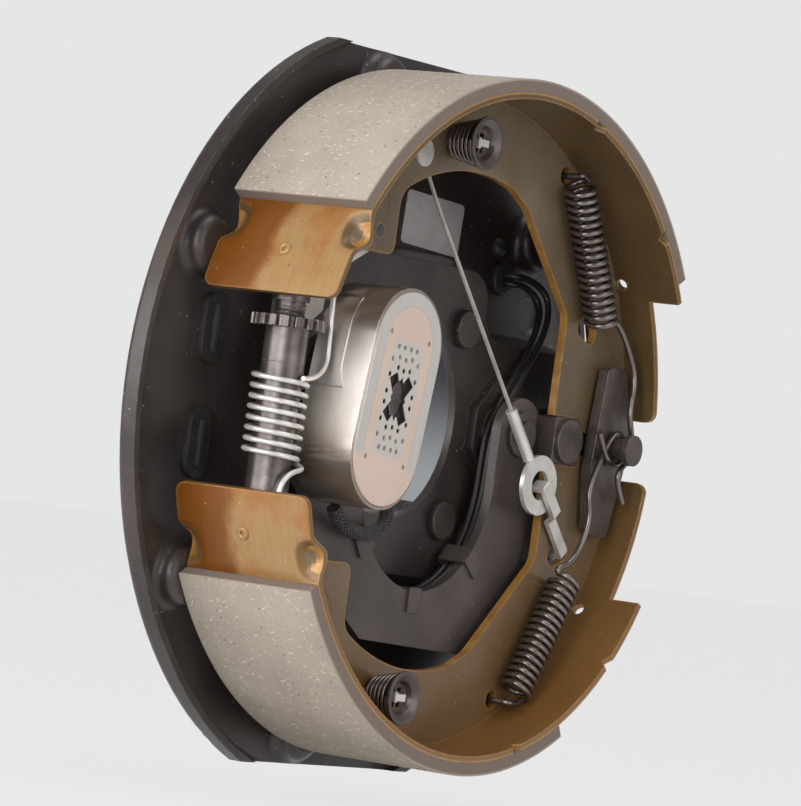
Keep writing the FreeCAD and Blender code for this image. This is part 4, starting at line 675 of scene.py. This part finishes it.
def strand_tree() -> Tree:
    """Strands laid round a path: the ring of strand sections turns as it runs along the path."""
    tree = Tree("strands", Strands="Int", Ring="Float", Strand="Float", Lay="Float")
    given = tree.given
    path = tree.node("GeometryNodeMeshToCurve", Mesh=given["Geometry"])
    path = tree.node("GeometryNodeResampleCurve", {"mode": "LENGTH"}, Curve=path.outputs[0], Length=0.0005)
    along = tree.node("GeometryNodeSplineParameter").outputs["Length"]
    path = tree.node("GeometryNodeSetCurveTilt", Curve=path.outputs[0], Tilt=tree.times(along, given["Lay"]))
    copies = tree.node("GeometryNodeInstanceOnPoints", Points=tree.ring(given["Strands"], given["Ring"]),
                       Instance=tree.ring(6, given["Strand"]))
    return tree.swept(path.outputs[0], tree.node("GeometryNodeRealizeInstances", Geometry=copies.outputs[0]).outputs[0])


def fibre_tree() -> Tree:
    """Short fibres scattered flat on a surface."""
    tree = Tree("fibres", Density="Float", Length="Float", Seed="Int")
    given = tree.given
    points = tree.node("GeometryNodeDistributePointsOnFaces", Mesh=given["Geometry"], Density=given["Density"],
                       Seed=given["Seed"]).outputs
    sliver = tree.node("GeometryNodeMeshCube", Size=(1.0, 0.13, 0.05)).outputs["Mesh"]
    length = tree.chance(0.25, 1.0)
    turned = tree.node("FunctionNodeRotateRotation", {"rotation_space": "LOCAL"}, Rotation=points["Rotation"])
    spin = tree.node("FunctionNodeAxisAngleToRotation", Axis=(0.0, 0.0, 1.0), Angle=tree.chance(-0.9, 0.9, seed=5))
    tree.feed(turned.inputs[1], spin.outputs[0])
    copies = tree.node("GeometryNodeInstanceOnPoints", Points=points["Points"], Instance=sliver,
                       Rotation=turned.outputs[0], Scale=tree.times(length, given["Length"]))
    return tree.finish(copies.outputs[0])


def drill_tree() -> Tree:
    """Round cutters along Y, one on each point of a mesh."""
    tree = Tree("drills", Radius="Float", Depth="Float")
    given = tree.given
    drill = tree.node("GeometryNodeMeshCylinder", Vertices=16, Radius=given["Radius"], Depth=given["Depth"])
    copies = tree.node("GeometryNodeInstanceOnPoints", Points=given["Geometry"], Instance=drill.outputs["Mesh"],
                       Rotation=(math.radians(90), 0.0, 0.0))
    return tree.finish(copies.outputs[0])


HELIX = helix_tree()
STRANDS = strand_tree()
FIBRES = fibre_tree()
DRILLS = drill_tree()


def winding(start: Place, end: Place, radii: Pair, wire_radius: float, turns: float, look: Look,
            sides: int = 12, begin: Vector = Vector((1.0, 0.0, 0.0))) -> Mesh:
    """Helix from start to end; all sizes in millimetres.

    Args:
        start: middle of the first turn.
        end: middle of the last turn.
        radii: radii of the wire's centre line at the start and at the end.
        wire_radius: radius of the wire.
        turns: number of turns.
        look: the finish.
        sides: sides of the wire's section.
        begin: direction from the axis to the wire's first point.

    Returns:
        The helix as a mesh in place.
    """
    start, end = metres([start, end])
    mesh = HELIX.grown(bpy.data.meshes.new("seed"), look, Radius=radii[0] * MM, End=radii[1] * MM,
                       Wire=wire_radius * MM, Turns=turns, Height=(end - start).length, Sides=sides)
    axis = (end - start).normalized()
    across = (begin - axis * begin.dot(axis)).normalized()
    turn = Matrix((across, axis.cross(across), axis)).transposed().to_4x4()
    mesh.transform(Matrix.Translation(start) @ turn)
    return mesh


# ---------------------------------------------------------------- sub-assemblies


NODE_LOOKS = {
    Look.PLATE: "backing_plate mounting_studs",
    Look.RUBBER: "slot_plug_upper slot_plug_lower wire_grommet hole_plug",
    Look.PAPER: "blank_label",
    Look.LEVER: "actuating_lever lead_clips",
    Look.OXIDE: "anchor_post anchor_plate lever_pivot_post pivot_washer cam_block cam_block_rivet magnet_post"
                " hold_down_cups adjuster_lever_pin",
    Look.ADJUSTER: "magnet_clip adjuster_socket star_screw adjuster_nut",
    Look.SPRING: "follower_spring",
    Look.NICKEL: "magnet_shell",
    Look.SHOE: "secondary_web primary_web",
    Look.LINING: "secondary_lining primary_lining",
    Look.ZINC: "hold_down_pins cable_guide cable_button cable_ferrule cable_eyelet cable_hook adjuster_lever",
}


def dress_nodes() -> None:
    """Gives each node that keeps its CAD shape its finish."""
    for look, nodes in NODE_LOOKS.items():
        for node in nodes.split():
            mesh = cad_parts[node].data
            mesh.materials.clear()
            mesh.materials.append(Palette.material(look))
            log.info("%s: %s", node, look.value.name)


@dataclass
class BackingPlate:
    """Threads of the pressed plate's four studs."""

    stud_offset: float = 35.92
    stud_radius: float = 5.55
    thread_pitch: float = 1.27
    thread_depth: float = 0.35
    ridge: float = 0.55
    thread_from: float = 6.0
    thread_to: float = 27.0

    def build(self) -> None:
        """Adds the threads on the studs behind the plate."""
        turns = (self.thread_to - self.thread_from) / self.thread_pitch
        core = self.stud_radius - self.thread_depth
        places = product((-self.stud_offset, self.stud_offset), repeat=2)
        ridges = [winding((x, self.thread_from, z), (x, self.thread_to, z), (core, core), self.ridge, turns,
                          Look.ZINC, 4) for x, z in places]
        shown("stud_threads", joined(*ridges), Look.OXIDE, "backing", smooth=False)


@dataclass
class Magnet:
    """Friction face of the electromagnet on the lever's end."""

    clip_half: Pair = (8.3, 4.9)
    clip_depth: float = 1.35
    hole_radius: float = 0.95
    hole_depth: float = 1.6
    holes: tuple[Pair, ...] = (
        (-5.9, 17.9), (-2.2, 18.1), (1.7, 18.3), (5.4, 18.5), (-8.1, 12.9), (-4.1, 14.3), (-0.1, 14.0), (3.6, 15.0),
        (7.7, 13.8), (-3.7, 10.6), (-0.1, 10.1), (3.5, 10.8), (-8.0, 7.4), (8.0, 8.0), (-7.9, 1.4), (8.1, 2.4),
        (-7.9, -2.6), (8.1, -1.6), (-7.9, -8.6), (8.1, -7.6), (-3.6, -10.9), (0.2, -10.2), (4.0, -10.6), (-7.9, -14.2),
        (-3.4, -14.8), (0.2, -13.9), (4.1, -14.4), (8.2, -13.3), (-5.3, -18.4), (-1.8, -18.2), (2.2, -18.0),
        (5.7, -17.8), (-12.1, 21.9), (11.6, 22.9), (-11.9, -23.2), (11.9, -22.0))

    def on_face(self, across: float, along: float) -> Place:
        """A point of the face, in millimetres, from its own tilted axes."""
        turn = math.radians(MAGNET_TILT)
        x = MAGNET_CENTRE[0] + across * math.cos(turn) + along * math.sin(turn)
        z = MAGNET_CENTRE[1] - across * math.sin(turn) + along * math.cos(turn)
        return (x, MAGNET_FACE, z)

    def window(self) -> Mesh:
        """Lozenge prism that opens the pocket above the clip."""
        long, short = self.clip_half
        corners = [self.on_face(*corner) for corner in ((0.0, long), (short, 0.0), (0.0, -long), (-short, 0.0))]
        floor = MAGNET_FACE + self.clip_depth
        return solid("window", metres([(x, y, z) for y in (MAGNET_FACE - 1.0, floor) for x, _, z in corners]),
                     [(3, 2, 1, 0), (4, 5, 6, 7), (0, 1, 5, 4), (1, 2, 6, 5), (2, 3, 7, 6), (3, 0, 4, 7)])

    def build(self) -> None:
        """Drills the friction face."""
        places = solid("hole_places", metres([self.on_face(*hole) for hole in self.holes]), [])
        holes = DRILLS.grown(places, Look.FACE, Radius=self.hole_radius * MM, Depth=2 * self.hole_depth * MM)
        core = linked("core", node_copy("magnet_core"))
        tools = [linked("cutter", mesh) for mesh in (holes, self.window())]
        for tool in tools:
            cut = core.modifiers.new("cut", "BOOLEAN")
            cut.object = tool
            cut.solver = "EXACT"
        mesh = mesh_of(core)
        for tool in tools:
            bpy.data.objects.remove(tool)
        shown("drilled_friction_face", mesh, Look.FACE, "magnet", ("magnet_core",), smooth=False)


@dataclass
class Shoe:
    """One lined shoe: web, table and lining, with pressed dents and dimple and the lining's fibres."""

    name: str = "secondary"
    fibre_seed: int = 3
    fibre_density: float = 52000.0
    fibre_length: float = 1.9
    face_radius: float = 126.0
    dimple: Place = (-110.9, -24.7, 49.9)
    dimple_radius: float = 1.6
    dimple_wire: float = 1.0
    table_reach: float = 118.9
    dent_angle: float = 150.8
    dent_spread: float = 3.4
    dent_width: float = 10.0
    dent_depth: float = 6.0
    dent_foot: float = 1.4
    cuts_in_spread: int = 6
    cuts_round: int = 9
    cuts_across: int = 8
    edges_y: Pair = (-52.4, 4.6)
    fibre_share: float = 0.97

    def dented(self) -> Mesh:
        """The table with both of its edges pressed in beside the lining's end."""
        work = opened(node_copy(f"{self.name}_table"))
        turns = [math.radians(self.dent_angle + step * self.dent_spread / self.cuts_in_spread)
                 for step in range(-self.cuts_round, self.cuts_round + 1)]
        planes = [((0, 0, 0), (-math.sin(turn), 0, math.cos(turn))) for turn in turns]
        planes += [((0, (edge + inward * self.dent_width * step / self.cuts_across) * MM, 0), (0, 1, 0))
                   for edge, inward in zip(self.edges_y, (1, -1)) for step in range(1, self.cuts_across + 1)]
        for place, normal in planes:
            bmesh.ops.bisect_plane(work, geom=work.verts[:] + work.edges[:] + work.faces[:], plane_co=place,
                                   plane_no=normal)
        for vertex in work.verts:
            x, y, z = vertex.co / MM
            reach = math.hypot(x, z)
            away = (math.degrees(math.atan2(z, x)) - self.dent_angle) / self.dent_spread
            into = min(abs(y - edge) for edge in self.edges_y) / self.dent_width
            if reach < self.table_reach or abs(away) >= self.cuts_round / self.cuts_in_spread or into >= 1.0:
                continue
            along = 0.5 + 0.5 * math.cos(math.pi * min(1.0, abs(away) / self.dent_foot))
            across = 0.5 + 0.5 * math.cos(math.pi * into)
            shift = self.dent_depth * along * across / reach
            vertex.co.x -= vertex.co.x * shift
            vertex.co.z -= vertex.co.z * shift
        return closed(work)

    def rubbing_face(self) -> Mesh:
        """The lining's outer face alone, a little narrower than the lining."""
        work = opened(node_copy(f"{self.name}_lining"))
        inner = [face for face in work.faces
                 if min(math.hypot(vertex.co.x, vertex.co.z) for vertex in face.verts) < self.face_radius * MM]
        bmesh.ops.delete(work, geom=inner, context="FACES")
        middle = sum(self.edges_y) / 2 * MM
        bmesh.ops.scale(work, vec=(1.0, self.fibre_share, 1.0), space=Matrix.Translation((0.0, -middle, 0.0)),
                        verts=work.verts[:])
        return closed(work)

    def build(self) -> None:
        """Adds the shoe's dented table, fibres and pressed dimple."""
        body = f"{self.name}_shoe"
        shown(f"{self.name}_dented_table", self.dented(), Look.SHOE, body, (f"{self.name}_table",),
              smooth=False)
        fibres = FIBRES.grown(self.rubbing_face(), Look.FIBRE, Density=self.fibre_density,
                              Length=self.fibre_length * MM, Seed=self.fibre_seed)
        shown(f"{self.name}_lining_fibres", fibres, Look.FIBRE, body, smooth=False)
        centre = Vector(self.dimple)
        out = Vector((centre.x, 0.0, centre.z)).normalized()
        ring = winding(centre, centre + out * 0.01, (self.dimple_radius,) * 2, self.dimple_wire, 1.0, Look.SHOE,
                       begin=Vector((0.0, 1.0, 0.0)))
        shown(f"{self.name}_table_dimple", ring, Look.SHOE, body)


@dataclass
class ReturnSpring:
    """Close-wound return spring with a hook into the web and a long arm to the anchor."""

    name: str
    start: Place
    end: Place
    web_hole: Pair
    arm: list[Place]
    arm_side: float
    turns: float
    radius: float = 5.45
    thickness: float = 2.3
    play: float = 0.985
    behind_y: float = -20.1

    def build(self) -> None:
        """Winds the coil and bends both ends."""
        start, end = Vector(self.start), Vector(self.end)
        along = (end - start).normalized()
        side = Vector((along.z, 0.0, -along.x))
        side = -side if side.x > 0 else side
        inset = along * self.thickness / 2
        coil = winding(start + inset, end - inset, (self.radius,) * 2, self.thickness / 2 * self.play, self.turns,
                       Look.SPRING, begin=-side)
        x, z = self.web_hole
        hook = [start - side * self.radius + inset, start - inset * 2 - side * self.radius / 2, (x, self.start[1], z),
                (x, self.behind_y, z)]
        arm = [end + side * self.radius * self.arm_side - inset, *self.arm]
        mesh = joined(coil, wire(hook, self.thickness), wire(arm, self.thickness))
        shown(f"{self.name}_wire", mesh, Look.SPRING, "backing", (self.name,))


@dataclass
class HoldDowns:
    """The two coils that hold the shoes to the plate."""

    places: tuple[Pair, ...] = ((-18.49, 100.72), (-24.06, -100.97))
    rear_y: float = -26.63
    front_y: float = -38.22
    rear_radius: float = 5.8
    front_radius: float = 8.4
    wire_radius: float = 0.8
    turns: float = 5.5

    def build(self) -> None:
        """Winds both coils."""
        coils = [winding((x, self.rear_y, z), (x, self.front_y, z), (self.rear_radius, self.front_radius),
                         self.wire_radius, self.turns, Look.SPRING) for x, z in self.places]
        shown("hold_down_coils", joined(*coils), Look.SPRING, "backing", ("hold_down_springs",))


@dataclass
class StarAdjuster:
    """Zinc spring and visible thread of the star-wheel adjuster."""

    axis: Pair = (-102.0, -23.925)
    coil_radius: float = 9.55
    wire_thickness: float = 1.9
    coil_ends: Pair = (-22.5, 6.2)
    turns: float = 7.75
    thread_ends: Pair = (27.4, 32.4)
    thread_pitch: float = 1.27
    thread_radius: float = 5.0
    ridge: float = 0.6
    upper_arm: Route = (
        (-102.0, -33.475, 6.2), (-86.8, -32.0, 7.0), (-85.4, -30.2, 26.0), (-84.6, -28.725, 46.0),
        (-84.0, -28.125, 62.6), (-84.0, -20.125, 62.0))
    lower_arm: Route = (
        (-92.45, -23.925, -22.5), (-92.45, -33.875, -24.4), (-104.5, -34.375, -27.0), (-108.4, -33.475, -34.0),
        (-104.6, -33.875, -48.0), (-95.0, -28.125, -62.6), (-95.0, -20.125, -62.0))

    def build(self) -> None:
        """Winds the spring and cuts the visible thread."""
        bottom, top, low, high = [(*self.axis, z) for z in (*self.coil_ends, *self.thread_ends)]
        coil = winding(bottom, top, (self.coil_radius,) * 2, self.wire_thickness / 2, self.turns, Look.ZINC, 14)
        arms = [wire(arm, self.wire_thickness) for arm in (self.upper_arm, self.lower_arm)]
        shown("adjuster_spring_wire", joined(coil, *arms), Look.ZINC, "backing", ("adjuster_spring",))
        turns = (high[2] - low[2]) / self.thread_pitch
        thread = winding(low, high, (self.thread_radius,) * 2, self.ridge, turns, Look.ADJUSTER, 4)
        shown("adjuster_thread", thread, Look.ADJUSTER, "star", smooth=False)


@dataclass
class CableRun:
    """Stranded cable of the self-adjuster."""

    route: Route = (
        (42.99, -25.97, 5.77), (2.08, -20.2, 57.99), (-15.45, -17.725, 80.38), (-30.24, -17.725, 99.28),
        (-32.83, -17.725, 102.57), (-41.11, -17.725, 102.57), (-43.7, -17.725, 99.39), (-54.8, -17.725, 85.67),
        (-65.93, -17.725, 71.94))
    diameter: float = 1.6
    strands: int = 7
    strand_share: float = 0.17
    lay: float = 420.0

    def build(self) -> None:
        """Lays the strands along the cable's spline."""
        line, path, length = laid(metres(self.route))
        strand = self.diameter * MM * self.strand_share
        mesh = STRANDS.grown(line, Look.CABLE, Strands=self.strands, Ring=self.diameter * MM / 2 - strand,
                             Strand=strand, Lay=self.lay)
        cable = shown("adjuster_cable_strands", mesh, Look.CABLE, "secondary_shoe", ("adjuster_cable",))


@dataclass
class MagnetLeads:
    """The two leads from the grommet to the magnet, and their braided sleeve."""

    diameter: float = 2.6
    gap: float = 0.9
    opening: Pair = (5.5, -21.0)
    opening_radius: float = 42.0
    sweep: tuple[int, ...] = (-8, -30, -52, -74, -96, -118, -140)
    depths: Pair = (-12.4, -9.5)
    heads: tuple[Route, ...] = (
        ((77.0, 16.6, 60.0), (77.0, 4.6, 60.0), (86.5, 3.8, 60.0), (94.8, 0.6, 55.4), (93.4, -2.6, 46.6),
         (83.9, -6.6, 36.2), (71.0, -9.8, 24.4), (59.0, -12.0, 12.4), (51.0, -12.4, 0.6), (49.9, -12.4, -12.0)),
        ((77.0, 16.6, 57.0), (77.0, 5.2, 57.0), (85.8, 5.4, 57.0), (91.6, 2.6, 53.0), (90.6, -0.2, 46.8),
         (82.8, -3.7, 36.8), (70.4, -6.9, 24.8), (58.6, -9.1, 12.8), (51.0, -9.5, 0.6), (49.9, -9.5, -12.0)))
    tails: tuple[Route, ...] = (
        ((-36.2, -12.4, -35.5), (-35.0, -12.4, -22.5), (-29.0, -13.0, -15.0), (-20.0, -13.6, -12.8),
         (-13.8, -14.2, -17.5), (-13.8, -15.2, -26.0), (-19.5, -17.3, -33.2)),
        ((-39.3, -9.5, -36.5), (-38.2, -9.5, -21.5), (-31.0, -10.1, -12.0), (-19.6, -11.6, -9.4),
         (-10.6, -13.0, -16.0), (-10.4, -14.8, -27.0), (-17.0, -17.3, -34.8)))
    sleeve: Route = (
        (-18.4, -17.4, -34.2), (-22.3, -21.7, -40.3), (-34.8, -22.4, -45.0), (-47.2, -23.6, -43.9),
        (-57.2, -24.4, -41.0), (-61.4, -24.6, -36.6))
    sleeve_diameter: float = 5.4
    braid_strands: int = 9
    braid_strand: float = 0.42
    braid_lay: float = 330.0
    braid_sunk: float = 2.2

    def build(self) -> None:
        """Lays both leads and braids the sleeve."""
        for number, (head, tail, deep) in enumerate(zip(self.heads, self.tails, self.depths), 1):
            reach = self.opening_radius + self.diameter / 2 + self.gap
            around = [(self.opening[0] + reach * math.cos(turn), deep, self.opening[1] + reach * math.sin(turn))
                      for turn in map(math.radians, self.sweep)]
            points = metres([*head, *around, *tail])
            curve = route_curve(points, self.diameter * MM, 5)
            curve.materials.append(Palette.material(Look.LEAD))
            lead = linked(f"magnet_lead_{number}", curve)
            _, _, length = laid(points)
            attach(lead, "backing")
            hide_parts(f"lead_wire_{number}")
            log.info("lead %d: %.3f m", number, length)
        self.braid()

    def braid(self) -> None:
        """Two layers of strands laid opposite ways round a dark core."""
        line, path, length = laid(metres(self.sleeve))
        strand = self.braid_strand
        ring = (self.sleeve_diameter / 2 - strand) * MM
        layers = [STRANDS.grown(line.copy(), Look.BRAID, Strands=self.braid_strands, Ring=ring, Strand=strand * MM,
                                Lay=lay) for lay in (self.braid_lay, -self.braid_lay)]
        core = wire(self.sleeve, self.sleeve_diameter - self.braid_sunk * strand)
        piece = shown("braided_sleeve", joined(core, *layers), Look.BRAID, "backing", ("lead_sleeve",))


# ---------------------------------------------------------------- stage


@dataclass
class Studio:
    """Pale floor and backdrop, soft lamps and the photograph's camera."""

    tone: Colour = (0.791, 0.791, 0.798)
    lift: float = 1.045
    floor_z: float = -0.1425
    floor_reach: float = 12.0
    card: tuple[Pair, Pair] = ((2.020, 1.442), (2.073, 1.370))
    card_top: float = 0.126
    camera_place: Place = (-1.50459, -1.05534, -0.0385)
    camera_turn: Place = (91.32674, -7.70476, -55.32129)
    lens: float = 223.55
    sensor: float = 36.0
    shift: Pair = (-0.00777, 0.00481)
    world: float = 0.42
    aim: Place = (0.0, -0.02, 0.0)
    lamps: tuple[tuple[str, Place, float, float], ...] = (
        ("left_softbox", (-1.7, -0.1, 0.55), 1.3, 17.0),
        ("front_softbox", (-0.2, -1.9, 0.35), 1.4, 9.0),
        ("top_softbox", (0.15, -0.45, 1.6), 1.2, 9.0),
        ("low_softbox", (-1.3, -0.5, -0.10), 0.7, 5.0),
        ("rear_softbox", (-1.5, 0.95, 0.15), 1.0, 11.0))

    def pale(self, name: str, keep: float) -> bpy.types.Material:
        """Matt pale paint that stays even for the camera, glossy and transmitted rays.

        Args:
            name: the material's name.
            keep: how much of its own light and shade stays visible.

        Returns:
            The material.
        """
        recipe = Recipe(name)
        recipe.surface(self.tone, 0.9)
        recipe.shade(Specular_IOR_Level=0.0)
        light = recipe.node("ShaderNodeEmission", Color=self.tone, Strength=self.lift)
        path = recipe.node("ShaderNodeLightPath").outputs
        seen = recipe.most(path["Is Camera Ray"], path["Is Glossy Ray"], path["Is Transmission Ray"])
        mixed = recipe.node("ShaderNodeMixShader")
        lit = recipe.times(seen, 1.0 - keep)
        for socket, value in zip(mixed.inputs, (lit, recipe.shader.outputs[0], light.outputs[0])):
            recipe.feed(socket, value)
        recipe.feed(recipe.output.inputs["Surface"], mixed.outputs[0])
        return recipe.material

    def painted_shade_card(self) -> bpy.types.Material:
        """Glowing blue-grey card, darker towards its top, seen through the spindle hole: painted shade standing in for
        the shaded space behind the plate.
        """
        recipe = Recipe("glowing_shade_card")
        height = recipe.axes()[2]
        tone = recipe.mix(recipe.step(height, -0.01, 0.10), (0.32, 0.335, 0.35), (0.05, 0.05, 0.055))
        recipe.surface((0.0, 0.0, 0.0), 1.0)
        recipe.shade(Specular_IOR_Level=0.0, Emission_Color=tone, Emission_Strength=1.0)
        return recipe.material

    def stand(self, name: str, corners: list[Place], paint: bpy.types.Material) -> None:
        """Stages a four-cornered sheet."""
        sheet = solid(name, corners, [(0, 1, 2, 3)])
        sheet.materials.append(paint)
        linked(name, sheet)

    def build(self) -> None:
        """Sets the floor, card, world, lamps and camera."""
        wide, floor = self.floor_reach, self.floor_z
        self.stand("floor", [(-wide, -wide, floor), (wide, -wide, floor), (wide, wide, floor), (-wide, wide, floor)],
                   self.pale("pale_floor", 0.10))
        # painted shade: a glowing card behind the plate stands in for the shade seen through the spindle hole
        left, right = self.card
        self.stand("glowing_shade_card", [(*left, floor), (*right, floor), (*right, self.card_top), (*left, self.card_top)],
                   self.painted_shade_card())
        world = bpy.data.worlds.new("studio")
        bpy.context.scene.world = world
        world.use_nodes = True
        graph = Graph(world.node_tree)
        path = graph.node("ShaderNodeLightPath").outputs
        seen = graph.most(path["Is Camera Ray"], path["Is Transmission Ray"])
        level = graph.node("ShaderNodeMapRange", Value=seen, To_Min=self.world, To_Max=1.0)
        back = graph.tree.nodes["Background"].inputs
        graph.feed(back["Color"], self.tone)
        graph.feed(back["Strength"], level.outputs[0])
        for name, place, size, power in self.lamps:
            lamp = bpy.data.lights.new(name, "AREA")
            lamp.size = size
            lamp.energy = power
            lit = linked(name, lamp)
            lit.location = place
            lit.rotation_euler = (Vector(self.aim) - Vector(place)).to_track_quat("-Z", "Y").to_euler()
        camera = bpy.data.cameras.new("camera")
        camera.lens = self.lens
        camera.sensor_width = self.sensor
        camera.shift_x, camera.shift_y = self.shift
        seat = linked("camera", camera)
        seat.location = self.camera_place
        seat.rotation_euler = [math.radians(angle) for angle in self.camera_turn]
        bpy.context.scene.camera = seat
        bpy.context.scene.view_settings.view_transform = "Standard"


def main() -> None:
    """Dresses the nodes, then builds the stage and every sub-assembly in order."""
    logging.basicConfig(level=logging.INFO, format="%(name)s: %(message)s")
    secondary_spring = ReturnSpring(
        "secondary_return_spring", (56.04, -32.625, 95.81), (84.4, -32.625, 44.6), (57.04, 98.01),
        arm=[(94.0, -33.025, 48.0), (103.0, -33.425, 39.5), (110.0, -34.8, 27.5), (105.8, -36.275, 14.5),
             (110.75, -36.275, 3.32), (110.75, -36.275, -3.32), (103.6, -36.275, -8.2), (104.2, -36.275, -13.8),
             (110.2, -35.675, -20.0)], arm_side=-1.0, turns=18)
    primary_spring = ReturnSpring(
        "primary_return_spring", (57.91, -32.625, -96.86), (83.2, -32.625, -51.4), (54.11, -99.66),
        arm=[(74.6, -32.625, -48.0), (86.0, -32.925, -45.0), (92.8, -34.0, -29.0), (88.4, -33.275, -16.0),
             (101.68, -33.275, 5.75), (108.32, -33.275, 5.75), (111.64, -33.275, 0.0), (108.32, -33.275, -5.75),
             (101.68, -33.275, -5.75), (94.0, -35.675, -3.2), (87.0, -36.275, 5.0)], arm_side=1.0, turns=16.5)
    primary_shoe = Shoe(name="primary", fibre_seed=8, dimple=(-111.0, -23.3, -49.6), dent_angle=-152.3)
    dress_nodes()
    for part in (Studio(), MagnetLeads(), CableRun(), BackingPlate(), Magnet(), Shoe(), primary_shoe, secondary_spring,
                 primary_spring, HoldDowns(), StarAdjuster()):
        part.build()


if __name__ == "__main__":
    main()
